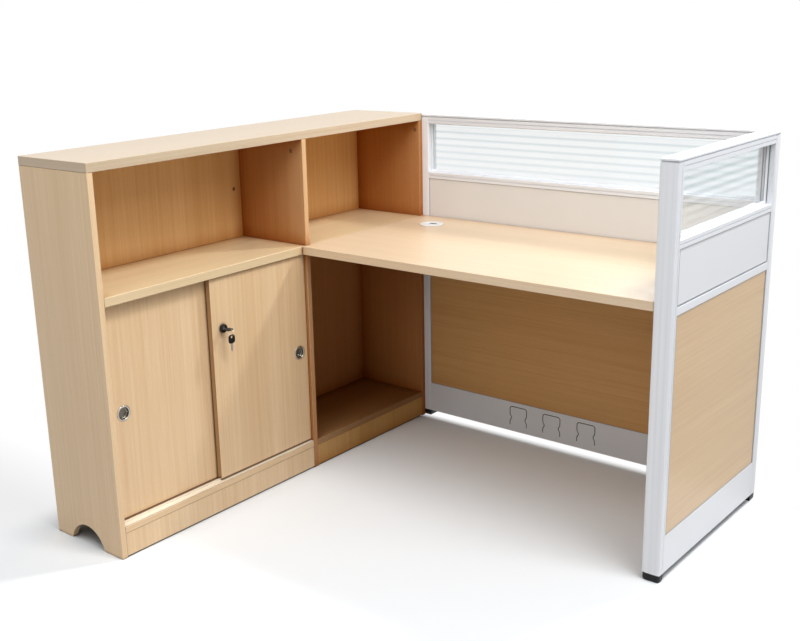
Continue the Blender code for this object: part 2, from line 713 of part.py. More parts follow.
def build_corner_post(z):
    bend, (x0, x1, y0, y1) = corner_outline(0, 0)
    middle_x = SIDE_X + SCREEN / 2
    middle_y = BACK_Y + SCREEN / 2
    outline = [(x0, y0), (middle_x - GROOVE_HALF, y0), (middle_x - GROOVE_HALF, y0 + GROOVE)]
    outline += [(middle_x + GROOVE_HALF, y0 + GROOVE), (middle_x + GROOVE_HALF, y0), (x1, y0)]
    outline += bend
    outline += [(x0, y1), (x0, middle_y + GROOVE_HALF), (x0 + GROOVE, middle_y + GROOVE_HALF)]
    outline += [(x0 + GROOVE, middle_y - GROOVE_HALF), (x0, middle_y - GROOVE_HALF)]
    post = piece("corner_post", prism(outline, "Z", *z), "white_aluminium", smooth=True)

    def closed(inset, lead):
        bend, (x0, x1, y0, y1) = corner_outline(inset, lead)
        return [(x0, y0), (x1, y0)] + bend + [(x0, y1)]

    def sole(inset):
        return closed(inset, inset)

    cut(post, prism(closed(WALL, GROOVE + WALL), "Z", z[0] - PAST, z[1] + PAST))
    build_foot("corner_foot", sole, closed(WALL + GAP, GROOVE + WALL + GAP))


def build_end_post(z):
    x0, x1 = END_POST_X, BACK_X0
    y0, y1 = BACK_Y, BACK_Y + SCREEN
    middle = (y0 + y1) / 2
    sides = rounded((x0, x1), (y0, y1), END_POST_ROUND, 3)
    quarter = len(sides) // 2
    groove = [(x1, middle - GROOVE_HALF), (x1 - GROOVE, middle - GROOVE_HALF)]
    groove += [(x1 - GROOVE, middle + GROOVE_HALF), (x1, middle + GROOVE_HALF)]
    outline = sides[:quarter] + groove + sides[quarter:]
    post = piece("end_post", prism(outline, "Z", *z), "white_aluminium", smooth=True)
    room_x = (x0 + WALL, x1 - GROOVE - WALL)
    room_y = (y0 + WALL, y1 - WALL)
    cut(post, box(room_x, room_y, (z[0] - PAST, z[1] + PAST)))

    def sole(inset):
        return rounded((x0 + inset, x1 - inset), (y0 + inset, y1 - inset), END_POST_ROUND, 3)

    plug = [(room_x[0] + GAP, room_y[0] + GAP), (room_x[1] - GAP, room_y[0] + GAP)]
    plug += [(room_x[1] - GAP, room_y[1] - GAP), (room_x[0] + GAP, room_y[1] - GAP)]
    build_foot("end_foot", sole, plug)


def build_foot(name, sole, plug):
    """Black foot under a post, with its lower edge rounded and a plug inside the post."""
    layers = []
    for k in range(FOOT_STEPS + 1):
        turn = math.pi / 2 * k / FOOT_STEPS
        inset = FOOT_INSET + FOOT_ROUND * (1 - math.sin(turn))
        layers.append((sole(inset), FOOT_ROUND * (1 - math.cos(turn))))
    layers.append((sole(FOOT_INSET), FOOT - GAP))
    foot = piece(name, stacked(layers), "black_plastic", smooth=True)
    join(foot, prism(plug, "Z", FOOT / 2, FOOT + FOOT_PLUG))


def rail_outline(low, high, groove_up=False, groove_down=False, line=False):
    """Return a rail's section across the screen, centred on the screen, with glazing grooves and face lines."""
    half = SCREEN / 2
    slot = GROOVE_HALF
    middle = (low + high) / 2
    points = [(-half, low)]
    if groove_down:
        points += [(-slot, low), (-slot, low + GROOVE), (slot, low + GROOVE), (slot, low)]
    points += [(half, low)]
    if line:
        inner = half - FACE_LINE_DEPTH
        points += [(half, middle - FACE_LINE / 2), (inner, middle - FACE_LINE / 2)]
        points += [(inner, middle + FACE_LINE / 2), (half, middle + FACE_LINE / 2)]
    points += [(half, high)]
    if groove_up:
        points += [(slot, high), (slot, high - GROOVE), (-slot, high - GROOVE), (-slot, high)]
    points += [(-half, high)]
    if line:
        points += [(-half, middle + FACE_LINE / 2), (-inner, middle + FACE_LINE / 2)]
        points += [(-inner, middle - FACE_LINE / 2), (-half, middle - FACE_LINE / 2)]
    return points


def desk_rail_outline():
    """Return the section of the rail at desk height, whose upper corners are cut back as shadow lines."""
    half = SCREEN / 2
    neck = half - SHADOW_DEPTH
    step = DESK_RAIL_TOP - SHADOW_STEP
    return [
        (-half, DESK_RAIL_Z), (half, DESK_RAIL_Z), (half, step), (neck, step),
        (neck, DESK_RAIL_TOP), (-neck, DESK_RAIL_TOP), (-neck, step), (-half, step),
    ]


def knockout_tool(left):
    """Return the slot around a socket knock-out: waisted sides and a round-cornered top, open below."""
    middle = left + KNOCKOUT_WIDTH / 2
    steps = 16
    shoulder = KNOCKOUT_TOP - KNOCKOUT_ROUND
    path = []
    for k in range(steps + 1):
        share = k / steps
        pinch = KNOCKOUT_WAIST * math.exp(-((share - KNOCKOUT_WAIST_SHARE) / KNOCKOUT_WAIST_SPREAD) ** 2)
        path.append((KNOCKOUT_WIDTH / 2 - pinch, KNOCKOUT_BOTTOM + (shoulder - KNOCKOUT_BOTTOM) * share))
    path += arc((KNOCKOUT_WIDTH / 2 - KNOCKOUT_ROUND, shoulder), KNOCKOUT_ROUND, 0, 90, 5)[1:]
    path += [(-x, z) for x, z in reversed(path)]
    outer, inner = [], []
    for k, (x, z) in enumerate(path):
        ahead = path[min(k + 1, len(path) - 1)]
        behind = path[max(k - 1, 0)]
        along = Vector((ahead[0] - behind[0], ahead[1] - behind[1])).normalized()
        aside = Vector((along.y, -along.x)) * KNOCKOUT_SLOT / 2
        outer.append((middle + x + aside.x, z + aside.y))
        inner.append((middle + x - aside.x, z - aside.y))
    return prism(outer + inner[::-1], "Y", BACK_Y - PAST, BACK_Y + WALL + PAST)


def build_screen(side, axis, centre, start, end):
    """Rails, raceway, glass and infill panels of one screen between its two posts."""
    def shifted(outline):
        return [(across + centre, z) for across, z in outline]

    def member(name, outline, room, finish="white_aluminium"):
        made = piece(f"{side}_{name}", prism(shifted(outline), axis, start + GAP, end - GAP), finish)
        inner = SCREEN / 2 - 2 * WALL
        chamber = [(-inner, room[0]), (inner, room[0]), (inner, room[1]), (-inner, room[1])]
        cut(made, prism(shifted(chamber), axis, start - PAST, end + PAST))
        return made

    def infill(name, thickness, low, high, overlap, finish):
        half = thickness / 2
        outline = [(-half, low), (half, low), (half, high), (-half, high)]
        span = (start + GAP - overlap, end - GAP + overlap)
        piece(f"{side}_{name}", prism(shifted(outline), axis, *span), finish)

    top = rail_outline(TOP_RAIL_Z, CAP_Z - GAP, groove_down=True, line=True)
    member("top_rail", top, (TOP_RAIL_Z + GROOVE + WALL, CAP_Z - GAP - WALL))
    middle = rail_outline(MID_RAIL_Z, SILL_Z, groove_up=True, line=True)
    member("mid_rail", middle, (MID_RAIL_Z + WALL, SILL_Z - GROOVE - WALL))
    member("desk_rail", desk_rail_outline(), (DESK_RAIL_Z + WALL, DESK_RAIL_TOP - SHADOW_STEP - WALL))
    duct = member("raceway", rail_outline(FOOT, RACEWAY_TOP), (FOOT + WALL, RACEWAY_TOP - WALL))
    infill("glass", GLASS, SILL_Z - GLASS_BITE, TOP_RAIL_Z + GLASS_BITE, GLASS_BITE, "clear_glass")
    thick = SCREEN - 2 * PANEL_RECESS
    infill("upper_panel", thick, DESK_RAIL_TOP + GAP, MID_RAIL_Z - GAP, -PANEL_REVEAL, "white_panel")
    infill("lower_panel", thick, RACEWAY_TOP + GAP, DESK_RAIL_Z - GAP, -PANEL_REVEAL, "beech_laminate")
    return duct


def build_caps():
    """Trim caps along the tops of both screens: a thin neck below a plate with eased edges."""
    neck_z = (CAP_Z, CAP_Z + CAP_NECK + PAST / 2)
    plate_z = (CAP_Z + CAP_NECK, SCREEN_HEIGHT)
    back_y = (BACK_Y, BACK_Y + SCREEN)
    back_x = (END_POST_X, SIDE_X - GAP)
    back = piece("back_cap", box(back_x, back_y, plate_z, CAP_ROUND), "white_aluminium")
    neck_x = (back_x[0] + CAP_NECK_INSET, back_x[1] - CAP_NECK_INSET)
    join(back, box(neck_x, (back_y[0] + CAP_NECK_INSET, back_y[1] - CAP_NECK_INSET), neck_z))

    def outline(inset):
        front, (x0, x1, y0, y1) = front_outline(inset)
        bend, far = corner_outline(inset, inset)
        return front + bend + [(x0, far[3])]

    plate = prism(outline(0), "Z", *plate_z)
    rim = [edge for edge in plate.edges if all(abs(vert.co.z - plate_z[1]) < EDGE / 10 for vert in edge.verts)]
    ease(plate, rim, CAP_ROUND)
    side = piece("side_cap", plate, "white_aluminium", smooth=True)
    join(side, prism(outline(CAP_NECK_INSET), "Z", *neck_z))


def build_screens():
    post_z = (FOOT, CAP_Z - GAP)
    build_end_post(post_z)
    build_corner_post(post_z)
    build_front_post(post_z)
    duct = build_screen("back", "X", BACK_Y + SCREEN / 2, BACK_X0, SIDE_X)
    for k in range(KNOCKOUT_COUNT):
        cut(duct, knockout_tool(BACK_X0 + KNOCKOUT_FIRST_X - KNOCKOUT_WIDTH / 2 + k * KNOCKOUT_PITCH))
    build_screen("side", "Y", SIDE_X + SCREEN / 2, SIDE_Y0, SIDE_Y1)
    build_caps()


clear_scene()
MATERIALS = make_materials()
ROOT = make_root()
build_carcass()
build_tracks()
build_doors()
build_desk()
build_screens()
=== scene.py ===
"""Looks of the partition workstation: materials, finer fittings, light and camera around the CAD frame.

Lengths are metres in the frame's own axes: X to the right, Y to the back, Z up.
The origin is the middle of the footprint.
"""
import json
import math

import bmesh
import bpy
from mathutils import Matrix, Vector

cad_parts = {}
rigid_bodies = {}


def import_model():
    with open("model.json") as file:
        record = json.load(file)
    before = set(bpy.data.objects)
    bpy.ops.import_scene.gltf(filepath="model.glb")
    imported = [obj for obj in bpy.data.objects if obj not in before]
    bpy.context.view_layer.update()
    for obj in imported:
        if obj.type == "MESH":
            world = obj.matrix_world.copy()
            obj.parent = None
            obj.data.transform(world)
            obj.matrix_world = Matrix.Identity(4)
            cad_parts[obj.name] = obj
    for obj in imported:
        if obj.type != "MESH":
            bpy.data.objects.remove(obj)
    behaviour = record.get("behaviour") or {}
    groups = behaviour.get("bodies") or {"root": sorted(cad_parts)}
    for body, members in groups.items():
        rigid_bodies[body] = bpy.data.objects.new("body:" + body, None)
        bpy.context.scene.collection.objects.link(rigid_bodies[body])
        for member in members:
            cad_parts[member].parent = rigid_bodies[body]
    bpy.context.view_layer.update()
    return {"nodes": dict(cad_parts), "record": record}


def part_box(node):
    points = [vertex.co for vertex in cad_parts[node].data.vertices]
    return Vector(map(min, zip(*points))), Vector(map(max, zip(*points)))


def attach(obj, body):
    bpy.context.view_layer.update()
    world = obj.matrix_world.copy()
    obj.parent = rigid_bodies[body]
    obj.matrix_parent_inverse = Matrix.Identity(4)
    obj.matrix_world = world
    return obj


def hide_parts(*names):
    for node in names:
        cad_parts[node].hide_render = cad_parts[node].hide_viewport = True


# Camera: place, turn in radians, focal length and image centre in pixels of an 800 pixel wide picture
PICTURE_WIDTH = 800
CAMERA_PLACE = (1.83085, -2.36115, 1.45556)
CAMERA_YAW = 0.715457
CAMERA_PITCH = 0.272081
CAMERA_ROLL = -0.030796
FOCAL_PIXELS = 1093.34
CENTRE_RIGHT = -48.39
CENTRE_DOWN = -7.91
SENSOR = 36.0

# Lamps: azimuth and elevation in degrees, size and power
LAMP_AIM = Vector((0.0, 0.0, 0.5))
LAMP_DISTANCE = 4.5
LAMPS = {
    "high_right": (80, 58, 2.0, 104.0),
    "high_back": (150, 48, 0.50, 86.0),
    "high_front": (0, 58, 2.0, 40.0),
    "front_right": (40, 58, 2.0, 27.0),
    "right": (100, 40, 1.2, 29.0),
    "front": (10, 28, 2.0, 28.0),
    "back": (190, 22, 1.5, 30.0),
}

# Floor and surroundings: tones, contact shadow, and where the floor turns to plain white
WORLD_AMBIENT = 0.24
FLOOR_RADII = (0.6, 1.2, 2.0, 3.0, 4.5, 7.0, 12.0, 40.0)
FLOOR_STEPS = 64
FLOOR_TONE = (0.865, 0.897, 0.925)
FLOOR_BOUNCE = (0.50, 0.50, 0.50)
FLOOR_REACH = 0.25
FLOOR_CLOSE = (0.10, 0.46, 0.02, 1.0)
FADE = (1.2, 3.0)
BEHIND = (0.640, 0.690)
BESIDE = (0.745, 0.930)
BESIDE_DEPTH = (-0.90, -0.40, 0.45, 1.0)

# The two screens: name, axis along the screen and axis across it
SCREENS = (("back", 0, 1), ("side", 1, 0))
SIDES = ("left", "right")

# Fineness of round shapes
TURN_STEPS = 72
ARC_STEPS = 14
BEND_STEPS = 5
EDGE_STEPS = 6
SLIGHT_STEPS = 3
SMOOTH_ANGLE = math.radians(32)
AXIS_TURNS = {
    "X": Matrix.Rotation(math.pi / 2, 4, "Y"),
    "Y": Matrix.Rotation(-math.pi / 2, 4, "X"),
    "Z": Matrix.Identity(4),
}

# Modifiers of the CAD nodes that are shown as they are
WELD_REACH = 0.000002
FLAT_ANGLE = math.radians(0.5)
BEVEL_WIDTH = 0.0004
BEVEL_SEGMENTS = 2
BEVEL_ANGLE = math.radians(50)
TOP_RAILS = ("back_top_rail", "side_top_rail")

# Clearances and easings that many pieces share
GAP = 0.0003
EASE = 0.0002
HAIR = 0.0001

# Posts, feet and caps, where pairs are an inset and a distance below the top
GROOVE_HALF = 0.0029
GROOVE = 0.0075
WALL = 0.002
FRONT_POST_ROUND = 0.004
FRONT_POST_BOW = 0.0010
LEAST_ROUND = 0.001
CORNER_ROUND = 0.046
END_POST_ROUND = 0.003
POST_LINE = 0.0018
POST_LINE_DEPTH = 0.0025
POST_LINE_BACK = 0.008
POST_STRIP_EDGE = 0.0010
POST_STRIP_FACE = 0.0007
POST_STRIP_END = 0.001
FOOT_ROUND = 0.006
FOOT_CORNER = 0.009
FOOT_INSET = 0.001
FOOT_STEPS = 8
FOOT_LINE = ((0.001, 0.0040), (0.0016, 0.0036), (0.0016, 0.0026), (0.001, 0.0022), (0.001, 0.0005),
             (0.0014, GAP))
CAP_NECK = 0.003
CAP_NECK_INSET = 0.0025
CAP_ROUND = 0.002
CAP_CORNER = 0.006
CAP_EASE = 0.0004

# Strips on the screens: their sections are pairs of a distance from the face and an inset from the frame
GLASS_EDGE = 0.006
BEAD = ((0.0002, 0.0002), (0.0060, 0.0002), (0.0060, 0.0016), (0.0054, 0.0024), (0.0016, 0.0046),
        (0.0006, 0.0048), (0.0002, 0.0044))
BEAD_SLOPE = 1.6
SEAL_WIDTH = 0.0022
PANE_SEAL = ((0.0062, 0), (0.0079, 0), (0.0085, 0.0006))
PANEL_SEAL_AND_SHADE = ((0.0001, 0), (0.0012, 0), (0.0015, 0.0004), (0.0015, 0.0011), (0.0012, 0.0015),
              (0.0001, 0.0015))
PAINTED_DESK_SHADE = ((-0.0079, 0), (-0.0036, 0), (-0.0030, 0.0006))
PAINTED_DESK_SHADE_END = 0.001
SHADOW_STEP = 0.005

# Door fittings: pulls, a dark strip of painted shade at each door's foot, lock and keys
PULL_CUP_R = 0.0185
PULL_WALL = 0.0012
PULL_PROUD = 0.0014
PULL_BEND = 0.0009
PULL_RIM = 0.0012
PULL_CUP_TOP = 0.0014
PULL_CUP_EASE = 0.0006
PULL_DISH = 0.003
PULL_DISH_TURN = -80
PULL_DISH_TOP = 0.004
PULL_FLOOR = ((0.011, EASE), (0.006, HAIR), (0, HAIR))
PAINTED_DOOR_SHADE_STRIP = ((0, 0.0002), (0.0001, 0), (0.0003, 0.0004), (0.0003, 0.0048), (0.0001, 0.0052), (0, 0.0050))
PAINTED_DOOR_SHADE_STRIP_END = 0.0005
LOCK_COLLAR = 0.009
LOCK_STEM_R = 0.009
LOCK_FLOOR = 0.0015
LOCK_BEND = 0.0012
LOCK_LINE = ((0, 0.0020), (0.0004, 0.0023), (0.0004, 0.0029), (0.0001, 0.0032))
LOCK_DISH = ((0.0024, 0), (0.0020, 0.0006), (0.0003, 0.0006), (0, 0.0009))
PLUG_R = 0.0058
PLUG_EASE = 0.0004
PLUG_STEPS = 48
KEYWAY_FLOOR = 0.004
KEY_BOW = 0.026
KEY_WIDTH = 0.024
KEY_THICK = 0.003
KEY_ROUND = 0.008
KEY_STEPS = 72
KEY_EDGE = ((0, 0.0006), (0.0002, 0.0002), (0.0006, 0), (0.0011, 0), (0.0014, 0.0004))
KEY_HOLE_EDGE = 0.0065
KEY_HOLE_R = 0.0042
KEY_HOLE_RIM = ((0.0008, 0.0004), (0.0006, 0), (0.0002, 0), (0, 0.0002))
BLADE_WIDTH = 0.0074
BLADE = 0.002
BLADE_LAP = 0.001
BLADE_TIP = 0.0016
BLADE_GROOVE = ((-0.0014, 0), (-0.0010, 0.0005), (0.0002, 0.0005), (0.0006, 0))
BLADE_CUTS = (0.0, 0.0, 0.0012, 0.0004, 0.0018, 0.0007, 0.0014, 0.0003, 0.0020, 0.0010, 0.0026)
RING_HALF = 0.0008
RING_WIRE_R = 0.00038
RING_ASIDE = 0.00041
RING_CROSS = 0.42
RING_CROSS_LENGTH = 0.16
RING_STEPS = 150
RING_SIDES = 10

# Grommet: flange, lip, lid and slot, where pairs are an inset or a growth and a distance below a face
GROMMET_R = 0.0345
GROMMET_WALL = 0.002
GROMMET_LIP = 0.002
GROMMET_LIP_TOP = -0.0015
FLANGE = 0.0022
FLANGE_EASE = 0.0003
FLANGE_BEND = 0.0013
BORE_BEND = 0.0005
LID_EDGE = ((0, 0.0005), (0.0002, 0.0001), (0.0005, 0))
LID_STEPS = 96
SLOT_LENGTH = 0.032
SLOT_WIDTH = 0.017
SLOT_OFFSET = 0.009
SLOT_ROUND = 0.98
SLOT_EDGE = ((0.0006, 0), (0.0002, 0.0002), (0, 0.0006))
LEAF_PLATE = ((0.0016, 0.0014), (0.0020, 0.0010), (0.0020, 0.0002), (-GAP, 0.0002))
LEAF_FILL = ((-GAP, 0.0014), (-0.0006, 0.0011))

# Socket knock-outs of the back raceway, as cut in the CAD node, and the section of their strips
KNOCKOUT_COUNT = 3
KNOCKOUT_FIRST_X = 0.373
KNOCKOUT_PITCH = 0.130
KNOCKOUT_WIDTH = 0.066
KNOCKOUT_BOTTOM = 0.050
KNOCKOUT_TOP = 0.112
KNOCKOUT_WAIST = 0.006
KNOCKOUT_WAIST_SHARE = 0.40
KNOCKOUT_WAIST_SPREAD = 0.16
KNOCKOUT_ROUND = 0.009
KNOCKOUT_ROUND_STEPS = 8
KNOCKOUT_SLOT = 0.003
KNOCKOUT_SCORE = 0.006
KNOCKOUT_STEPS = 36
KNOCKOUT_SUNK = 0.0016
KNOCKOUT_ABOVE = -0.00002
KNOCKOUT_FACE = ((1, -0.0001), (0.6, -0.0002), (-0.6, -0.0002), (-1, -0.0001))

# Covers and screws: profiles are pairs of a radius and a height
COVER_STEPS = 32
COVER_PROFILE = ((0, 0.00005), (0.0056, 0.00005), (0.0058, 0.00012), (0.0060, 0.0004), (0.0054, 0.0008),
                 (0.0030, 0.0010), (0.0012, 0.00095), (0, 0.0009))
SCREW_STEPS = 24
SCREW_PROFILE = ((0.0038, 0.0001), (0.0040, 0.0004), (0.0040, 0.0010), (0.0034, 0.0018), (0.0026, 0.0021))
SCREW_SOCKET_R = 0.0019
SCREW_SOCKET = (0.0021, 0.0009)
PLATE_SCREWS = (0.2, 0.65, 1.35, 1.8)
ANGLE_THICK = 0.003
ANGLE_DESK_SCREW = 0.016
ANGLE_RAIL_SCREW = 0.028
ANGLE_SCREW_END = 0.014

# Laminated boards: grain direction, and the axes' order along the grain on the faces and on the ends
GRAIN = {
    "Z": ["near_end_panel", "far_end_panel", "hutch_divider", "lower_divider", "hutch_back_near",
          "hutch_back_far", "cupboard_back", "bay_back", "left_door", "right_door", "cupboard_plinth",
          "bay_plinth"],
    "Y": ["cabinet_top", "shelf_board", "cupboard_bottom", "bay_bottom", "cupboard_shelf",
          "side_lower_panel"],
    "X": ["desktop", "back_lower_panel"],
}
GRAIN_ORDER = {"X": ("XYZ", "YXZ"), "Y": ("YXZ", "XYZ"), "Z": ("ZXY", "XYZ")}

# Light and dark grain of the laminate, then copies of it with light painted in: painted shade on the cabinet
# top and the side lower panel, a painted highlight on the desktop, and a shelf tone that takes out warm
# bounce light
BEECH = ((0.845, 0.630, 0.395), (0.710, 0.475, 0.255))
PAINTED_LIGHT_TONES = {
    "cabinet_top": ((0.615, 0.495, 0.360), (0.525, 0.395, 0.250)),
    "shelf_board": ((0.790, 0.630, 0.400), (0.660, 0.475, 0.265)),
    "desktop": ((0.815, 0.642, 0.450), (0.700, 0.517, 0.330)),
    "side_lower_panel": ((0.705, 0.495, 0.270), (0.590, 0.375, 0.170)),
}

# Beech grain: scale of each layer along and across the grain, and its share of the tone
BOARD_SHIFT = 13.0
BOARD_SHARE = 0.08
SWAY = 0.02
SWAY_SCALE = (1.1, 4.0, 4.0)
BAND_SCALE = (0.30, 11.0, 11.0)
BAND_SHARE = 0.32
STREAK_SCALE = (1.2, 135.0, 135.0)
STREAK_SHARE = 0.46
FIBRE_SCALE = (8.0, 620.0, 620.0)
FIBRE_SHARE = 0.22
FLECK_SCALE = (150.0, 1500.0, 1500.0)
FLECK_TINT = (0.70, 0.60, 0.50)
GRAIN_TONE = (0.38, 0.70)
FLECK_TONE = (0.62, 0.74, 0.0, 0.30)
FLECK_DEPTH = -0.5
BEECH_GLOSS = (0.36, 0.46)
FACING = 0.7
COAT_ROUGHNESS = 0.32
OUTER_COAT = 0.5
OUTER_SHINE = 0.5
INNER_COAT = 0.0
INNER_SHINE = 0.02

# Range that most of a noise's values keep to, and the narrower one that makes a tone
NOISE = (0.3, 0.7)
TONE = (0.35, 0.65)

# Painted shade on the boards: deeper tints where other pieces close them in, near corners and at joints, and
# darker door edges. A shade has a reach, the openness where it is full and where it ends, samples
DOORS = ("left_door", "right_door")
OPEN_BOARDS = DOORS + ("near_end_panel", "cupboard_plinth")
PAINTED_DOOR_EDGE_SHADE = (0.44, 0.33, 0.23)
PAINTED_JOINT_SHADE = (0.30, 0.22, 0.15)
PAINTED_JOINT_SHADE_AO = (0.008, 0.50, 0.90, 4)
PAINTED_CORNER_SHADE = (0.70, 0.48, 0.30)
PAINTED_CORNER_SHADE_AO = (0.05, 0.40, 0.90, 4)
PAINTED_CLOSED_SHADE_AO = (1.0, 0.05, 1.0, 6)
PAINTED_CLOSED_SHADE = {
    "hutch_back_near": (0.90, 0.67, 0.36),
    "hutch_back_far": (0.90, 0.66, 0.36),
    "hutch_divider": (0.52, 0.24, 0.05),
    "far_end_panel": (0.47, 0.19, 0.01),
    "lower_divider": (0.47, 0.19, 0.01),
    "bay_back": (0.46, 0.20, 0.01),
    "bay_bottom": (0.25, 0.11, 0.005),
    "bay_plinth": (0.65, 0.46, 0.15),
    "back_lower_panel": (0.84, 0.60, 0.30),
}

# Glass stripes: the highest clear line, the lines' pitch, and the share of their width for core and rim
CLEAR_LINE_Z = 1.0370
CLEAR_PITCH = 0.0226
LINE_CORE = 0.4
LINE_RIM = 1.6
FROST_MARGIN = 0.015
FROST_GRAIN = 1800.0
FROST_ROUGHNESS = 0.04
CLEAR_ROUGHNESS = 0.02
CLEAR_PASS = 0.97
FROST_PASS = 0.84
FROST_TINT = (0.950, 0.985, 1.0)
GLASS_IOR = 1.3

# Panes: axis along them, etched face, far margin, the lines' tint and width, and how they fade at the foot
PANES = {
    "back_glass": ("X", "-Y", 0.015, (0.575, 0.640, 0.660), 0.0078, (0.60, 0.0, 1.0)),
    "side_glass": ("Y", "+X", 0.050, (0.56, 0.61, 0.62), 0.0105, (0.15, 0.26, 0.48)),
}


def clear_scene():
    for item in list(bpy.data.objects):
        bpy.data.objects.remove(item, do_unlink=True)


# Material nodes
def fill(tree, target, inputs):
    """Feed a node's inputs with sockets or plain values. Colours are given without their alpha."""
    for key, value in inputs.items():
        socket = target.inputs[key]
        if isinstance(value, bpy.types.NodeSocket):
            tree.links.new(value, socket)
        else:
            socket.default_value = (*value, 1.0) if socket.type == "RGBA" else value


def node(tree, kind, inputs=None, **settings):
    made = tree.nodes.new(kind)
    for key, value in settings.items():
        setattr(made, key, value)
    fill(tree, made, inputs or {})
    return made


def maths(tree, operation, *values):
    return node(tree, "ShaderNodeMath", dict(enumerate(values)), operation=operation).outputs[0]


def vectors(tree, operation, first, second):
    return node(tree, "ShaderNodeVectorMath", {0: first, 1: second}, operation=operation).outputs[0]


def scaled(tree, vector, scale):
    return vectors(tree, "MULTIPLY", vector, scale)


def noise(tree, vector, scale=1.0, detail=2.0, roughness=0.5):
    inputs = {"Vector": vector, "Scale": scale, "Detail": detail, "Roughness": roughness}
    return node(tree, "ShaderNodeTexNoise", inputs).outputs["Fac"]


def spread(tree, value, low, high, to_low=0.0, to_high=1.0, smooth=False):
    """Map one range to another and keep the result inside it."""
    inputs = {"Value": value, "From Min": low, "From Max": high, "To Min": to_low, "To Max": to_high}
    kind = "SMOOTHSTEP" if smooth else "LINEAR"
    return node(tree, "ShaderNodeMapRange", inputs, interpolation_type=kind).outputs["Result"]


def mixed(tree, factor, low, high, kind="Color"):
    """Mix two colours or vectors."""
    made = node(tree, "ShaderNodeMix", data_type="VECTOR" if kind == "Vector" else "RGBA")
    place = {item.identifier: k for k, item in enumerate(made.inputs)}
    fill(tree, made, {place["Factor_Float"]: factor, place[f"A_{kind}"]: low, place[f"B_{kind}"]: high})
    return next(item for item in made.outputs if item.identifier == f"Result_{kind}")


def openness(tree, distance, samples):
    return node(tree, "ShaderNodeAmbientOcclusion", {"Distance": distance}, samples=samples).outputs["AO"]


def shaded(tree, colour, tint, distance, full, end, samples):
    """Tint a colour where other pieces are near, as painted shade."""
    free = spread(tree, openness(tree, distance, samples), full, end)
    return mixed(tree, free, scaled(tree, colour, tint), colour)


def material(name, roughness=0.4, metallic=0.0, ior=1.5):
    made = bpy.data.materials.new(name)
    made.use_nodes = True
    shader = made.node_tree.nodes["Principled BSDF"]
    fill(made.node_tree, shader, {"Roughness": roughness, "Metallic": metallic, "IOR": ior})
    return made, made.node_tree, shader


def bump(tree, shader, height, strength, distance):
    made = node(tree, "ShaderNodeBump", {"Height": height, "Strength": strength, "Distance": distance})
    tree.links.new(made.outputs["Normal"], shader.inputs["Normal"])


def beech(name, grain, light, dark, closed_shade=None, edge=None, corner=True):
    """Beech laminate: bands, streaks, fibres and flecks along one axis, with painted shade where it is closed
    in, near corners and joints, and on door edges.
    """
    made, tree, shader = material(name)
    place = node(tree, "ShaderNodeTexCoord").outputs
    point = node(tree, "ShaderNodeSeparateXYZ", {0: place["Object"]}).outputs
    facing = node(tree, "ShaderNodeSeparateXYZ", {0: place["Normal"]}).outputs
    random = node(tree, "ShaderNodeObjectInfo").outputs["Random"]
    orders = [{k: point[axis] for k, axis in enumerate(order)} for order in GRAIN_ORDER[grain]]
    along, aside = [node(tree, "ShaderNodeCombineXYZ", order).outputs[0] for order in orders]
    end = maths(tree, "GREATER_THAN", maths(tree, "ABSOLUTE", facing[grain]), FACING)
    vector = mixed(tree, end, along, aside, "Vector")
    vector = vectors(tree, "ADD", vector, maths(tree, "MULTIPLY", random, BOARD_SHIFT))
    sway = maths(tree, "SUBTRACT", noise(tree, scaled(tree, vector, SWAY_SCALE), detail=1.0), 0.5)
    sway = node(tree, "ShaderNodeCombineXYZ", {1: maths(tree, "MULTIPLY", sway, SWAY)}).outputs[0]
    vector = vectors(tree, "ADD", vector, sway)
    bands = noise(tree, scaled(tree, vector, BAND_SCALE))
    streaks = noise(tree, scaled(tree, vector, STREAK_SCALE), detail=3.0, roughness=0.6)
    fibres = noise(tree, scaled(tree, vector, FIBRE_SCALE))
    flecks = noise(tree, scaled(tree, vector, FLECK_SCALE), detail=1.0)
    tone = maths(tree, "MULTIPLY", bands, BAND_SHARE)
    for layer, share in ((streaks, STREAK_SHARE), (fibres, FIBRE_SHARE), (random, BOARD_SHARE)):
        tone = maths(tree, "MULTIPLY_ADD", layer, share, tone)
    colour = mixed(tree, spread(tree, tone, *GRAIN_TONE), dark, light)
    marks = spread(tree, flecks, *FLECK_TONE)
    colour = mixed(tree, marks, colour, [value * tint for value, tint in zip(dark, FLECK_TINT)])
    # Painted shade on the faces that look along Y, the doors' edges
    if edge:
        upright = maths(tree, "GREATER_THAN", maths(tree, "ABSOLUTE", facing["Y"]), FACING)
        colour = mixed(tree, upright, colour, scaled(tree, colour, edge))
    # Painted shade: a deeper tint where other pieces close the board in
    if closed_shade:
        colour = shaded(tree, colour, closed_shade, *PAINTED_CLOSED_SHADE_AO)
    # Painted shade near corners and where boards meet the floor or other pieces
    if corner:
        colour = shaded(tree, colour, PAINTED_CORNER_SHADE, *PAINTED_CORNER_SHADE_AO)
    # Painted shade: dark lines where boards meet or leave a narrow gap
    if not closed_shade:
        colour = shaded(tree, colour, PAINTED_JOINT_SHADE, *PAINTED_JOINT_SHADE_AO)
    fill(tree, shader, {
        "Base Color": colour,
        "Roughness": spread(tree, streaks, *NOISE, *BEECH_GLOSS),
        "Coat Weight": INNER_COAT if closed_shade else OUTER_COAT,
        "Coat Roughness": COAT_ROUGHNESS,
        "Specular IOR Level": INNER_SHINE if closed_shade else OUTER_SHINE,
    })
    bump(tree, shader, maths(tree, "MULTIPLY_ADD", flecks, FLECK_DEPTH, fibres), 0.10, 0.0002)
    return made


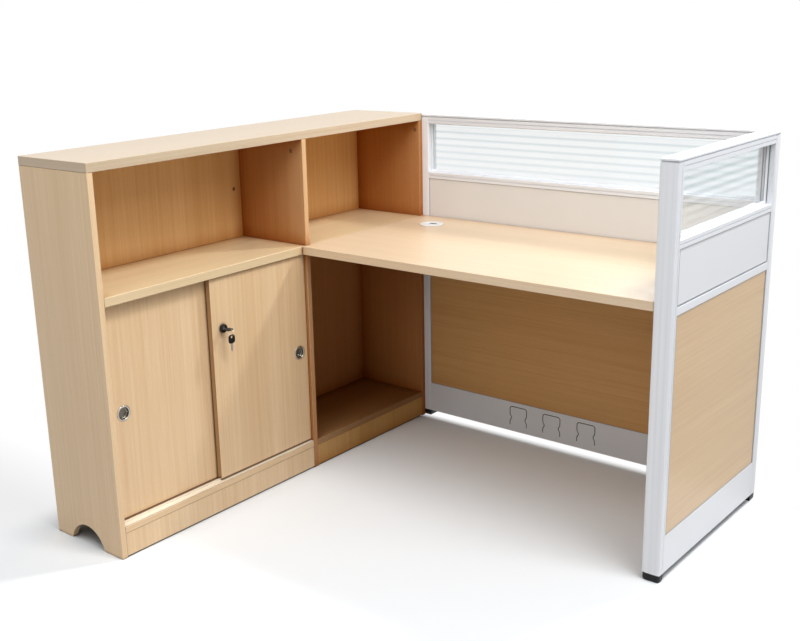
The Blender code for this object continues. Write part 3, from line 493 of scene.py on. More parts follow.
def coated(name, colour, shade, roughness, peel, strength, drawn=None, shine=0.5):
    """Powder coat, paint or plastic: fine peel, faint patches or, where a band scale is given, bands of
    painted shade and painted reflection, and a slightly uneven gloss.
    """
    made, tree, shader = material(name, roughness)
    place = node(tree, "ShaderNodeTexCoord").outputs["Object"]
    patches = noise(tree, scaled(tree, place, drawn)) if drawn else noise(tree, place, 6.0, 3.0)
    grit = noise(tree, place, peel)
    tone = maths(tree, "MULTIPLY_ADD", grit, 0.35, maths(tree, "MULTIPLY", patches, 0.65))
    fill(tree, shader, {
        "Base Color": mixed(tree, spread(tree, tone, *TONE), shade, colour),
        "Roughness": spread(tree, patches, *NOISE, roughness - 0.05, roughness + 0.05),
        "Specular IOR Level": shine,
    })
    bump(tree, shader, grit, strength, 0.0002)
    return made


def plated(name, colour, shade, roughness, stretch):
    """Plated metal with fine drawn lines, closest across the stretched axis."""
    made, tree, shader = material(name, roughness, 1.0)
    place = node(tree, "ShaderNodeTexCoord").outputs["Object"]
    lines = noise(tree, scaled(tree, place, stretch), 1.0, 3.0, 0.6)
    patches = noise(tree, place, 90.0)
    tone = maths(tree, "MULTIPLY_ADD", lines, 0.6, maths(tree, "MULTIPLY", patches, 0.4))
    fill(tree, shader, {
        "Base Color": mixed(tree, spread(tree, tone, *TONE), shade, colour),
        "Roughness": spread(tree, lines, *NOISE, roughness - 0.06, roughness + 0.08),
    })
    bump(tree, shader, lines, 0.08, 0.0001)
    return made


def striped_glass(name, box, across, face, far_margin, tint, width, fade):
    """Clear glass with stripes frosted into one face, and tinted lines between them that fade at the foot."""
    made, tree, shader = material(name, ior=GLASS_IOR)
    low, high = box
    place = node(tree, "ShaderNodeTexCoord").outputs["Object"]
    point = node(tree, "ShaderNodeSeparateXYZ", {0: place}).outputs
    step = maths(tree, "DIVIDE", maths(tree, "SUBTRACT", point["Z"], CLEAR_LINE_Z), CLEAR_PITCH)
    off = maths(tree, "ABSOLUTE", maths(tree, "SUBTRACT", step, maths(tree, "ROUND", step)))
    half = width / CLEAR_PITCH / 2
    stripe = spread(tree, off, half * LINE_CORE, half * LINE_RIM)
    sign, normal = face
    middle = (low["XYZ".index(normal)] + high["XYZ".index(normal)]) / 2
    inside = maths(tree, "GREATER_THAN" if sign == "+" else "LESS_THAN", point[normal], middle)
    for axis, last in ((across, far_margin), ("Z", FROST_MARGIN)):
        start, stop = low["XYZ".index(axis)] + FROST_MARGIN, high["XYZ".index(axis)] - last
        for test, limit in (("GREATER_THAN", start), ("LESS_THAN", stop)):
            inside = maths(tree, "MULTIPLY", inside, maths(tree, test, point[axis], limit))
    frost = maths(tree, "MULTIPLY", inside, stripe)
    weakest, start, stop = fade
    tall = high.z - low.z
    strength = spread(tree, point["Z"], low.z + tall * start, low.z + tall * stop, weakest, 1.0)
    line = maths(tree, "MULTIPLY", maths(tree, "SUBTRACT", inside, frost), strength)
    grain = noise(tree, place, FROST_GRAIN)
    veil = maths(tree, "MULTIPLY", frost, spread(tree, grain, *NOISE, 0.85, 1.0))
    fill(tree, shader, {
        "Base Color": mixed(tree, line, FROST_TINT, tint),
        "Roughness": spread(tree, veil, 0.0, 1.0, CLEAR_ROUGHNESS, FROST_ROUGHNESS),
        "Transmission Weight": spread(tree, veil, 0.0, 1.0, CLEAR_PASS, FROST_PASS),
    })
    return made


# Mesh helpers
def piece(name, shape, look, body, slot, *nodes, smooth=True):
    """Make an object of a bmesh, set its material, parent it to a body and hide the CAD nodes it replaces."""
    bmesh.ops.remove_doubles(shape, verts=shape.verts, dist=1e-7)
    bmesh.ops.recalc_face_normals(shape, faces=shape.faces)
    mesh = bpy.data.meshes.new(name)
    shape.to_mesh(mesh)
    shape.free()
    mesh.polygons.foreach_set("use_smooth", [smooth] * len(mesh.polygons))
    if smooth:
        mesh.set_sharp_from_angle(angle=SMOOTH_ANGLE)
    made = bpy.data.objects.new(name, mesh)
    bpy.context.scene.collection.objects.link(made)
    mesh.materials.append(look)
    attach(made, body)
    if nodes:
        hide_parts(*nodes)
    return made


def bridge(shape, rows, closed=False):
    """Join rows of points with quads, or with triangles where a row is a single point."""
    pairs = list(zip(rows, rows[1:])) + ([(rows[-1], rows[0])] if closed else [])
    for low, high in pairs:
        count = max(len(low), len(high))
        for k in range(count):
            n = (k + 1) % count
            if len(low) == 1:
                shape.faces.new((low[0], high[n], high[k]))
            elif len(high) == 1:
                shape.faces.new((low[k], low[n], high[0]))
            else:
                shape.faces.new((low[k], low[n], high[n], high[k]))


def rings(shape, loops, closed=False, ends=True):
    """Bridge loops of equally many points, and close the ends or the last loop to the first."""
    rows = [[shape.verts.new(point) for point in loop] for loop in loops]
    bridge(shape, rows, closed)
    if ends and not closed:
        shape.faces.new(rows[0][::-1])
        shape.faces.new(rows[-1])
    return shape


def stacked(loops):
    """Return a closed body from outlines at rising heights."""
    return rings(bmesh.new(), [[(x, y, z) for x, y in outline] for outline, z in loops])


def circle(radius, steps, centre=(0.0, 0.0)):
    angles = [2 * math.pi * k / steps for k in range(steps)]
    return [(centre[0] + radius * math.cos(a), centre[1] + radius * math.sin(a)) for a in angles]


def turned(profile, axis, centre, steps=TURN_STEPS, closed=False):
    """Revolve a profile of radius and height about an axis. A radius of 0 is a point on the axis."""
    shape = bmesh.new()
    place = Matrix.Translation(centre) @ AXIS_TURNS[axis]
    rows = []
    for radius, height in profile:
        points = circle(radius, steps) if radius else [(0.0, 0.0)]
        rows.append([shape.verts.new(place @ Vector((x, y, height))) for x, y in points])
    bridge(shape, rows, closed)
    return shape


def arc(centre, radius, start, end, steps=ARC_STEPS):
    angles = [math.radians(start + (end - start) * k / steps) for k in range(steps + 1)]
    return [(centre[0] + radius * math.cos(a), centre[1] + radius * math.sin(a)) for a in angles]


def rounded(span_x, span_y, radius, steps=ARC_STEPS):
    (x0, x1), (y0, y1) = span_x, span_y
    points = arc((x1 - radius, y0 + radius), radius, 270, 360, steps)
    points += arc((x1 - radius, y1 - radius), radius, 0, 90, steps)
    points += arc((x0 + radius, y1 - radius), radius, 90, 180, steps)
    points += arc((x0 + radius, y0 + radius), radius, 180, 270, steps)
    return points


def tube(outer, inner, z0, z1):
    """Return a hollow section along Z between two outlines."""
    shape = bmesh.new()
    for points in (outer, inner[::-1]):
        bridge(shape, [[shape.verts.new((x, y, z)) for x, y in points] for z in (z0, z1)])
    for z in (z0, z1):
        edges = [edge for edge in shape.edges if all(abs(vert.co.z - z) < 1e-9 for vert in edge.verts)]
        bmesh.ops.triangle_fill(shape, edges=edges, use_beauty=True)
    return shape


def roll(steps):
    """Return pairs of the shares that a rolled edge still lies aside and has risen."""
    turns = [math.pi / 2 * k / steps for k in range(steps + 1)]
    return [(1 - math.sin(turn), 1 - math.cos(turn)) for turn in turns]


def reach(outline, centre, count):
    """Return the outline's points in equal turns around a point inside it."""
    found = []
    for direction in circle(1.0, count):
        ray = Vector(direction)
        best = None
        for a, b in zip(outline, outline[1:] + outline[:1]):
            start, edge = Vector(a) - Vector(centre), Vector(b) - Vector(a)
            cross = ray.x * edge.y - ray.y * edge.x
            if abs(cross) < 1e-15:
                continue
            far = (start.x * edge.y - start.y * edge.x) / cross
            share = (start.x * ray.y - start.y * ray.x) / cross
            if far > 0 and -1e-9 <= share <= 1 + 1e-9 and (best is None or far > best):
                best = far
        found.append((centre[0] + ray.x * best, centre[1] + ray.y * best))
    return found


def centre_of(low, high):
    return [(a + b) / 2 for a, b in zip(low, high)]


# Start
clear_scene()
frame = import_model()
nodes = frame["nodes"]

# Materials: name, colour, shade, roughness, then the peel's fineness and strength, or the drawn lines' scale.
# The posts' coat takes a scale for bands of painted shade and painted reflection
SEAL = coated("grey_rubber_seal", (0.20, 0.205, 0.21), (0.16, 0.165, 0.17), 0.6, 1600.0, 0.10)
# Light grey: seals around the panels that are also painted shade of their joints, and painted shade in the
# desk rails' step and the front post's lines
LIGHT_SEAL_AND_SHADE = coated("light_grey_seal_and_painted_shade", (0.46, 0.47, 0.49), (0.40, 0.41, 0.43), 0.6, 1600.0, 0.10)
# Pale grey for the caps' necks: painted shade under the cap plates
PALE_NECK_SHADE = coated("pale_grey_painted_shade", (0.62, 0.63, 0.65), (0.56, 0.57, 0.59), 0.6, 1600.0, 0.10)
ALUMINIUM = coated("white_aluminium_coat", (0.84, 0.86, 0.90), (0.81, 0.83, 0.87), 0.36, 1500.0, 0.08)
# Posts: vertical bands of painted shade and painted reflection
BANDED_POST_COAT = coated("white_post_coat_painted_bands", (0.90, 0.92, 0.955), (0.76, 0.785, 0.83), 0.34, 1500.0, 0.08,
              drawn=(70.0, 70.0, 0.5))
PANEL = coated("white_panel_laminate", (0.82, 0.84, 0.865), (0.80, 0.82, 0.845), 0.45, 900.0, 0.06)
# The white laminate, warmer and darker for the back upper panel: painted warm bounce light from the desk, and
# painted shade
PAINTED_BOUNCE_PANEL = coated("white_laminate_painted_bounce", (0.775, 0.765, 0.745), (0.755, 0.745, 0.725), 0.45, 900.0, 0.06)
BLACK = coated("black_moulded_plastic", (0.011, 0.011, 0.012), (0.006, 0.006, 0.007), 0.42, 1900.0, 0.12,
               shine=0.25)
WHITE = coated("white_moulded_plastic", (0.88, 0.88, 0.875), (0.84, 0.84, 0.835), 0.36, 1300.0, 0.06)
CREAM = coated("cream_track_plastic", (0.88, 0.78, 0.63), (0.84, 0.73, 0.58), 0.25, 700.0, 0.03)
COVER = coated("brown_cover_plastic", (0.20, 0.105, 0.045), (0.16, 0.08, 0.033), 0.45, 1500.0, 0.08)
FINE_DRAWN = (500.0, 2500.0, 2500.0)
NICKEL = plated("satin_nickel_plate", (0.66, 0.635, 0.58), (0.58, 0.555, 0.50), 0.20, FINE_DRAWN)
# Darker nickel for the pull cups and the lock plug: painted shade and painted dark reflection in the hollows
SHADED_NICKEL = plated("nickel_plate_painted_shade", (0.24, 0.220, 0.185), (0.15, 0.135, 0.110), 0.17, FINE_DRAWN)
STEEL = plated("zinc_plated_steel", (0.60, 0.61, 0.63), (0.52, 0.53, 0.55), 0.34, (300.0, 1800.0, 1800.0))
GLASS = {name: striped_glass(f"striped_{name}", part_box(name), *pane) for name, pane in PANES.items()}
LOOKS = {
    "white_aluminium": ALUMINIUM, "white_panel": PANEL, "black_plastic": BLACK, "white_plastic": WHITE,
    "satin_nickel": NICKEL, "steel": STEEL, "cream_plastic": CREAM,
}


def dress_nodes():
    """Give every CAD node its material, and ease the sharp edges of the flat-sided ones."""
    woods = {}
    for axis, names in GRAIN.items():
        for name in names:
            # The doors' edges get painted shade
            edge = PAINTED_DOOR_EDGE_SHADE if name in DOORS else None
            # Some boards take a copy of the laminate with painted shade or a painted highlight
            key = (axis, *PAINTED_LIGHT_TONES.get(name, BEECH), PAINTED_CLOSED_SHADE.get(name), edge, name not in OPEN_BOARDS)
            if key not in woods:
                woods[key] = beech(f"beech_laminate_{len(woods) + 1}", *key)
            nodes[name].data.materials[0] = woods[key]
    for name, look in GLASS.items():
        nodes[name].data.materials[0] = look
    for entry in frame["record"]["subparts"]:
        if entry["material_slot"] in LOOKS:
            nodes[entry["node"]].data.materials[0] = LOOKS[entry["material_slot"]]
    # Painted bounce light and shade on the back upper panel
    nodes["back_upper_panel"].data.materials[0] = PAINTED_BOUNCE_PANEL
    for name, item in nodes.items():
        if name in GLASS:
            continue
        weld = item.modifiers.new("weld", "WELD")
        weld.merge_threshold = WELD_REACH
        if name not in TOP_RAILS:
            flat = item.modifiers.new("flat", "DECIMATE")
            flat.decimate_type = "DISSOLVE"
            flat.angle_limit = FLAT_ANGLE
        ease = item.modifiers.new("ease", "BEVEL")
        ease.width = BEVEL_WIDTH
        ease.segments = BEVEL_SEGMENTS
        ease.limit_method = "ANGLE"
        ease.angle_limit = BEVEL_ANGLE


# Door fittings
def build_pulls():
    """Flush pulls: a rolled rim around a deep cup with a dished floor."""
    for side in SIDES:
        low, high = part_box(f"{side}_pull")
        _, y, z = centre_of(low, high)
        centre = (high.x - PULL_PROUD, y, z)
        radius = (high.y - low.y) / 2
        inner = PULL_CUP_R - PULL_WALL
        back = low.x - centre[0]
        floor = back + PULL_WALL
        rim = [(PULL_CUP_R, GAP), (radius - EASE, GAP), (radius, GAP + EASE)]
        rim += arc((radius - PULL_BEND, PULL_PROUD - PULL_BEND), PULL_BEND, 0, 90, BEND_STEPS)
        rim += arc((inner + PULL_BEND, PULL_PROUD - PULL_BEND), PULL_BEND, 90, 180, BEND_STEPS)
        rim += [(inner, -PULL_RIM), (PULL_CUP_R, -PULL_RIM)]
        cup = [(0, back), (PULL_CUP_R - PULL_CUP_EASE, back), (PULL_CUP_R, back + PULL_CUP_EASE)]
        cup += [(PULL_CUP_R, -PULL_CUP_TOP), (inner, -PULL_CUP_TOP), (inner - EASE, floor + PULL_DISH_TOP)]
        bend = (inner - EASE - PULL_DISH, floor + PULL_DISH)
        cup += arc(bend, PULL_DISH, 0, PULL_DISH_TURN, BEND_STEPS)
        cup += [(r, floor + rise) for r, rise in PULL_FLOOR]
        parts = (f"{side}_door", "satin_nickel", f"{side}_pull")
        piece(f"{side}_pull_rim", turned(rim, "X", centre, closed=True), NICKEL, *parts)
        # The cup is in darker nickel as painted shade
        piece(f"{side}_pull_cup", turned(cup, "X", centre), SHADED_NICKEL, *parts)


def build_door_shade_strips():
    """A dark strip along the lower edge of each door's face, as painted shade of the gap under the door."""
    for side in SIDES:
        low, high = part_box(f"{side}_door")
        face = high.x + GAP / 10
        loops = [[(face + off, y, low.z + rise) for off, rise in PAINTED_DOOR_SHADE_STRIP]
                 for y in (low.y + PAINTED_DOOR_SHADE_STRIP_END, high.y - PAINTED_DOOR_SHADE_STRIP_END)]
        shape = rings(bmesh.new(), loops)
        piece(f"{side}_door_foot_strip", shape, COVER, f"{side}_door", "black_plastic", smooth=False)


def build_lock():
    """Lock collar with eased edges and a step, and the plug with its keyway."""
    low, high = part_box("lock_body")
    _, y, z = centre_of(low, high)
    centre = (high.x - LOCK_COLLAR, y, z)
    radius = (high.y - low.y) / 2
    rear = low.x - centre[0]
    bore = PLUG_R + GAP
    bend = radius - HAIR - LOCK_BEND
    profile = [(0, rear), (LOCK_STEM_R - EASE, rear), (LOCK_STEM_R, rear + EASE), (LOCK_STEM_R, GAP)]
    profile += [(radius - EASE, GAP), (radius, GAP + EASE)]
    profile += [(radius - inset, height) for inset, height in LOCK_LINE]
    profile += arc((bend, LOCK_COLLAR - LOCK_BEND), LOCK_BEND, 0, 90, BEND_STEPS)
    profile += [(bore + out, LOCK_COLLAR - down) for out, down in LOCK_DISH]
    profile += [(bore, rear + LOCK_FLOOR), (0, rear + LOCK_FLOOR)]
    piece("lock_collar", turned(profile, "X", centre), BLACK, "right_door", "black_plastic", "lock_body")

    low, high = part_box("lock_plug")
    half_width, half_thick = BLADE_WIDTH / 2 + GAP, BLADE / 2 + GAP
    keyway = rounded((-half_width, half_width), (-half_thick, half_thick), EASE, SLIGHT_STEPS)
    keyway = reach(keyway, (0, 0), PLUG_STEPS)
    outer, inner = circle(PLUG_R, PLUG_STEPS), circle(PLUG_R - PLUG_EASE, PLUG_STEPS)
    levels = [(outer, low.x), (outer, high.x - PLUG_EASE), (inner, high.x)]
    levels += [(keyway, high.x), (keyway, low.x + KEYWAY_FLOOR)]
    loops = [[(x, centre[1] + y, centre[2] + z) for y, z in loop] for loop, x in levels]
    # The plug face is in darker nickel as painted shade
    piece("lock_cylinder", rings(bmesh.new(), loops), SHADED_NICKEL, "lock", "steel", "lock_plug")


def key_loops():
    """Return a key head's loops around its hole: rolled edges, a sunk face and a raised rim at the hole."""
    half = KEY_THICK / 2

    def outer(inset, z):
        spans = (inset, KEY_BOW - inset), (inset - KEY_WIDTH / 2, KEY_WIDTH / 2 - inset)
        outline = rounded(*spans, KEY_ROUND - inset)
        return [(x, y, z) for x, y in reach(outline, (KEY_HOLE_EDGE, 0), KEY_STEPS)]

    def hole(grow, z):
        return [(x, y, z) for x, y in circle(KEY_HOLE_R + grow, KEY_STEPS, (KEY_HOLE_EDGE, 0))]

    face = [outer(inset, half - down) for inset, down in KEY_EDGE]
    face += [hole(grow, half - down) for grow, down in KEY_HOLE_RIM]
    back = [[(x, y, -z) for x, y, z in loop] for loop in face]
    return face + back[::-1]


def blade_loops(length):
    """Return the sections of a key's blade: a lengthwise groove on each face and notches along one edge."""
    half, thick = BLADE_WIDTH / 2, BLADE / 2
    start, last = KEY_BOW - BLADE_LAP, len(BLADE_CUTS) - 1
    loops = []
    for k, depth in enumerate(BLADE_CUTS):
        x = start + (length - start) * k / last
        face = [(-half + (BLADE_TIP if k == last else 0.0), thick)]
        face += [(y, thick - sunk) for y, sunk in BLADE_GROOVE] + [(half - depth, thick)]
        loops.append([(x, y, -z) for y, z in face] + [(x, y, z) for y, z in face[::-1]])
    return loops


def build_keys():
    """The key in the lock, the ring on it and the spare key: moulded heads, cut blades and a split ring."""
    low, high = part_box("lock_key")
    _, y, z = centre_of(low, high)
    turn = Matrix(((-1, 0, 0), (0, 1, 0), (0, 0, -1))).to_4x4()
    places = {"lock_key": ("lock", Matrix.Translation((high.x, y, z)) @ turn, high.x - low.x)}
    low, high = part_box("spare_key")
    x, y, _ = centre_of(low, high)
    turn = Matrix(((0, 0, 1), (0, 1, 0), (-1, 0, 0))).to_4x4()
    places["spare_key"] = ("spare", Matrix.Translation((x, y, high.z)) @ turn, high.z - low.z)
    for name, (body, place, length) in places.items():
        head = rings(bmesh.new(), key_loops(), closed=True)
        blade = rings(bmesh.new(), blade_loops(length))
        for shape in (head, blade):
            bmesh.ops.transform(shape, matrix=place, verts=shape.verts)
        piece(f"{name}_head", head, BLACK, body, "black_plastic", name)
        piece(f"{name}_blade", blade, STEEL, body, "steel", name)

    low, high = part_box("key_ring")
    centre = centre_of(low, high)
    radius = (high.x - low.x) / 2 - RING_HALF
    loops = []
    for k in range(RING_STEPS + 1):
        share = k / RING_STEPS
        turn = 4 * math.pi * share
        ramp = min(max((share - RING_CROSS) / RING_CROSS_LENGTH, 0.0), 1.0)
        aside = (ramp * ramp * (3 - 2 * ramp) * 2 - 1) * RING_ASIDE
        section = circle(RING_WIRE_R, RING_SIDES, (radius, aside))
        loops.append([(centre[0] + r * math.cos(turn), centre[1] + y, centre[2] + r * math.sin(turn))
                      for r, y in section])
    piece("split_ring", rings(bmesh.new(), loops), STEEL, "ring", "steel", "key_ring")


# Desktop fittings
def build_grommet():
    """Cable grommet: a flange with a rolled edge, a cap with a round-ended slot, and a dark leaf in it."""
    low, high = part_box("grommet_body")
    x, y, _ = centre_of(low, high)
    centre = (x, y, high.z - FLANGE)
    radius = (high.x - low.x) / 2
    inner = GROMMET_R - GROMMET_WALL
    hook, under = inner - GROMMET_LIP, GROMMET_LIP_TOP - GROMMET_LIP
    bottom = low.z - centre[2]
    profile = [(radius - FLANGE_EASE, GAP), (radius, GAP + FLANGE_EASE)]
    profile += arc((radius - FLANGE_BEND, FLANGE - FLANGE_BEND), FLANGE_BEND, 0, 90, BEND_STEPS)
    profile += arc((inner + BORE_BEND, FLANGE - BORE_BEND), BORE_BEND, 90, 180, BEND_STEPS)
    profile += [(inner, GROMMET_LIP_TOP), (hook, GROMMET_LIP_TOP), (hook, under), (inner, under)]
    profile += [(inner, bottom), (GROMMET_R, bottom), (GROMMET_R, GAP)]
    shape = turned(profile, "Z", centre, closed=True)
    piece("grommet_ring", shape, WHITE, "frame", "white_plastic", "grommet_body")

    low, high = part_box("grommet_cap")
    radius = (high.x - low.x) / 2

    def disc(inset, z):
        return [(x, y, z) for x, y in circle(radius - inset, LID_STEPS, centre)]

    def slot(grow, z):
        half_x, half_y = SLOT_LENGTH / 2 + grow, SLOT_WIDTH / 2 + grow
        spans = (-half_x, half_x), (SLOT_OFFSET - half_y, SLOT_OFFSET + half_y)
        points = reach(rounded(*spans, half_y * SLOT_ROUND), (0, SLOT_OFFSET), LID_STEPS)
        return [(centre[0] + x, centre[1] + y, z) for x, y in points]

    loops = [disc(0, low.z)] + [disc(inset, high.z - down) for inset, down in LID_EDGE]
    loops += [slot(grow, high.z - down) for grow, down in SLOT_EDGE] + [slot(0, low.z)]
    shape = rings(bmesh.new(), loops, closed=True)
    piece("grommet_lid", shape, WHITE, "grommet_cap", "white_plastic", "grommet_cap")
    leaf = [slot(grow, low.z - down) for grow, down in LEAF_PLATE]
    leaf += [slot(grow, high.z - down) for grow, down in LEAF_FILL]
    piece("grommet_leaf", rings(bmesh.new(), leaf), BLACK, "grommet_cap", "black_plastic")


# Posts, feet and caps
def post_line(x, at_y, side):
    """Return the points of a narrow line sunk into a post's flank, in the outline's order."""
    sunk, half = x - POST_LINE_DEPTH * side, POST_LINE / 2 * side
    return [(x, at_y - half), (sunk, at_y - half), (sunk, at_y + half), (x, at_y + half)]


def front_outline(low, high, inset, bend, bow=0.0):
    """Return the front of a post's outline: two rounded corners and a face that bows out between them."""
    radius = max(bend - inset, LEAST_ROUND)
    left, right, face = low.x + inset + radius, high.x - inset - radius, low.y + inset
    points = arc((left, face + bow + radius), radius, 180, 270)
    for k in range(1, ARC_STEPS):
        share = k / ARC_STEPS
        points.append((left + (right - left) * share, face + bow * (2 * share - 1) ** 2))
    return points + arc((right, face + bow + radius), radius, 270, 360)


def corner_outline(low, high, inset, lead):
    """Return the large bend of the corner post's outline, and the outline's limits."""
    x0, y0, x1, y1 = low.x + lead, low.y + lead, high.x - inset, high.y - inset
    bend = min(CORNER_ROUND - inset, x1 - x0, y1 - y0)
    return arc((x1 - bend, y1 - bend), bend, 0, 90, ARC_STEPS * 2), (x0, y0, x1, y1)


def box_outline(low, high, inset, radius, steps):
    return rounded((low.x + inset, high.x - inset), (low.y + inset, high.y - inset), radius, steps)


def post(name, outline, room):
    low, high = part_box(name)
    piece(f"{name}_section", tube(outline, room, low.z, high.z), BANDED_POST_COAT, "frame", "white_aluminium", name)


def build_posts():
    """Extruded posts with finer rounding, and narrow lines on the front post's flanks filled with grey as
    painted shade.
    """
    low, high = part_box("front_post")
    middle = (low.x + high.x) / 2
    floor = high.y - GROOVE
    line_y = high.y - POST_LINE_BACK
    outline = front_outline(low, high, 0, FRONT_POST_ROUND, FRONT_POST_BOW) + post_line(high.x, line_y, 1)
    outline += [(high.x, high.y), (middle + GROOVE_HALF, high.y), (middle + GROOVE_HALF, floor)]
    outline += [(middle - GROOVE_HALF, floor), (middle - GROOVE_HALF, high.y), (low.x, high.y)]
    outline += post_line(low.x, line_y, -1)
    room = front_outline(low, high, WALL, FRONT_POST_ROUND)
    room += [(high.x - WALL, floor - WALL), (low.x + WALL, floor - WALL)]
    post("front_post", outline, room)

    # Grey strips in the flank lines: painted shade in the grooves
    half = POST_LINE / 2 - HAIR
    strip = [(POST_LINE_DEPTH - HAIR, -half), (POST_STRIP_EDGE, -half), (POST_STRIP_FACE, -half / 2)]
    strip += [(off, -across) for off, across in strip[::-1]]
    for side, x, out in (("inner", low.x, -1), ("outer", high.x, 1)):
        line = [(x - out * off, line_y + across) for off, across in strip]
        shape = stacked([(line, low.z + POST_STRIP_END), (line, high.z - POST_STRIP_END)])
        piece(f"front_post_line_{side}", shape, LIGHT_SEAL_AND_SHADE, "frame", "black_plastic", smooth=False)

    low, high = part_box("corner_post")
    middle_x = centre_of(*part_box("side_top_rail"))[0]
    middle_y = centre_of(*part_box("back_top_rail"))[1]
    bend, (x0, y0, x1, y1) = corner_outline(low, high, 0, 0)
    outline = [(x0, y0), (middle_x - GROOVE_HALF, y0), (middle_x - GROOVE_HALF, y0 + GROOVE)]
    outline += [(middle_x + GROOVE_HALF, y0 + GROOVE), (middle_x + GROOVE_HALF, y0), (x1, y0)] + bend
    outline += [(x0, y1), (x0, middle_y + GROOVE_HALF), (x0 + GROOVE, middle_y + GROOVE_HALF)]
    outline += [(x0 + GROOVE, middle_y - GROOVE_HALF), (x0, middle_y - GROOVE_HALF)]
    bend, (x0, y0, x1, y1) = corner_outline(low, high, WALL, GROOVE + WALL)
    post("corner_post", outline, [(x0, y0), (x1, y0)] + bend + [(x0, y1)])

    low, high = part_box("end_post")
    middle = (low.y + high.y) / 2
    sides = end_sole(low, high, 0)
    first = len(sides) // 4
    groove = [(high.x, middle - GROOVE_HALF), (high.x - GROOVE, middle - GROOVE_HALF)]
    groove += [(high.x - GROOVE, middle + GROOVE_HALF), (high.x, middle + GROOVE_HALF)]
    spans = (low.x + WALL, high.x - GROOVE - WALL), (low.y + WALL, high.y - WALL)
    post("end_post", sides[:first] + groove + sides[first:], rounded(*spans, LEAST_ROUND, SLIGHT_STEPS))


def front_sole(low, high, inset):
    points = front_outline(low, high, inset, FOOT_CORNER)
    return points + [(high.x - inset, high.y - inset), (low.x + inset, high.y - inset)]


def corner_sole(low, high, inset):
    bend, (x0, y0, x1, y1) = corner_outline(low, high, inset, inset)
    return [(x0, y0), (x1, y0)] + bend + [(x0, y1)]


def end_sole(low, high, inset):
    return box_outline(low, high, inset, END_POST_ROUND, EDGE_STEPS)


def build_feet():
    """Moulded feet: a rolled lower edge, and a fine line below the post."""
    for name, sole in (("front", front_sole), ("corner", corner_sole), ("end", end_sole)):
        low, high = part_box(f"{name}_post")
        loops = [(sole(low, high, FOOT_INSET + FOOT_ROUND * aside), FOOT_ROUND * rise)
                 for aside, rise in roll(FOOT_STEPS)]
        loops += [(sole(low, high, inset), low.z - down) for inset, down in FOOT_LINE]
        piece(f"{name}_foot_moulding", stacked(loops), BLACK, "frame", "black_plastic", f"{name}_foot")


def back_plate(low, high, inset):
    return box_outline(low, high, inset, CAP_CORNER - inset, BEND_STEPS)


def side_plate(low, high, inset):
    bend, (x0, _, _, y1) = corner_outline(low, high, inset, inset)
    return front_outline(low, high, inset, FRONT_POST_ROUND) + bend + [(x0, y1)]


def build_caps():
    """Trim caps: a pale grey neck as painted shade under the plate, and a plate whose upper edge is rolled.
    """
    for name, plate in (("back_cap", back_plate), ("side_cap", side_plate)):
        low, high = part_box(name)
        neck, under = plate(low, high, CAP_NECK_INSET), low.z + CAP_NECK
        shape = stacked([(neck, low.z), (neck, under - HAIR)])
        piece(f"{name}_neck", shape, PALE_NECK_SHADE, "frame", "white_aluminium", name)
        loops = [(plate(low, high, CAP_EASE), under), (plate(low, high, 0), under + CAP_EASE)]
        loops += [(plate(low, high, CAP_ROUND * rise), high.z - CAP_ROUND * aside)
                  for aside, rise in roll(EDGE_STEPS)]
        piece(f"{name}_trim", stacked(loops), ALUMINIUM, "frame", "white_aluminium", name)


# Strips on the screens
def strips(name, axes, box, ends, heights, section, look, slot, closed=False, slope=1.0):
    """Make a strip on both faces of a screen, as a closed frame or a bar. The slope widens a frame's foot."""
    level, normal = axes
    for side, surface, out in (("inner", box[0][normal], -1), ("outer", box[1][normal], 1)):
        loops = []
        for off, inset in section:
            left, right = ends[0] + inset, ends[1] - inset
            low, high = heights[0] + inset * slope, heights[1] - inset
            loop = []
            for along, z in ((left, low), (right, low), (right, high), (left, high)):
                point = [0.0, 0.0, z]
                point[level], point[normal] = along, surface + out * off
                loop.append(tuple(point))
            loops.append(loop)
        piece(f"{name}_{side}", rings(bmesh.new(), loops, closed=closed), look, "frame", slot, smooth=False)


def build_glazing():
    """A sloped bead around each pane, a rubber seal above it, and one beside the corner post."""
    for screen, *axes in SCREENS:
        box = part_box(f"{screen}_glass")
        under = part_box(f"{screen}_top_rail")[0].z
        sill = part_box(f"{screen}_mid_rail")[1].z
        ends = (box[0][axes[0]] + GLASS_EDGE + GAP, box[1][axes[0]] - GLASS_EDGE - GAP)
        look = (BEAD, ALUMINIUM, "white_aluminium")
        strips(f"{screen}_bead", axes, box, ends, (sill, under), *look, closed=True, slope=BEAD_SLOPE)
        look = (PANE_SEAL, SEAL, "black_plastic")
        strips(f"{screen}_seal_upper", axes, box, ends, (under - SEAL_WIDTH, under - GAP), *look)
        if screen == "side":
            far = (ends[1] - SEAL_WIDTH, ends[1])
            strips("side_seal_far", axes, box, far, (sill + SEAL_WIDTH, under - SEAL_WIDTH - GAP), *look)


def build_panel_seals():
    """Thin grey strips around the infill panels, part seal and part painted shade of the joints, and in the
    step above each desk rail as painted shade.
    """
    look = (LIGHT_SEAL_AND_SHADE, "black_plastic")
    for screen, *axes in SCREENS:
        for panel in ("upper", "lower"):
            low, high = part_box(f"{screen}_{panel}_panel")
            ends, heights = (low[axes[0]], high[axes[0]]), (low.z, high.z)
            strips(f"{screen}_{panel}_seal", axes, (low, high), ends, heights, PANEL_SEAL_AND_SHADE, *look, closed=True)
        # Painted shade: a grey strip in the shadow step above each desk rail
        low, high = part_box(f"{screen}_desk_rail")
        ends = (low[axes[0]] + PAINTED_DESK_SHADE_END, high[axes[0]] - PAINTED_DESK_SHADE_END)
        heights = (high.z - SHADOW_STEP + HAIR, high.z - HAIR)
        strips(f"{screen}_desk_seal", axes, (low, high), ends, heights, PAINTED_DESK_SHADE, *look)


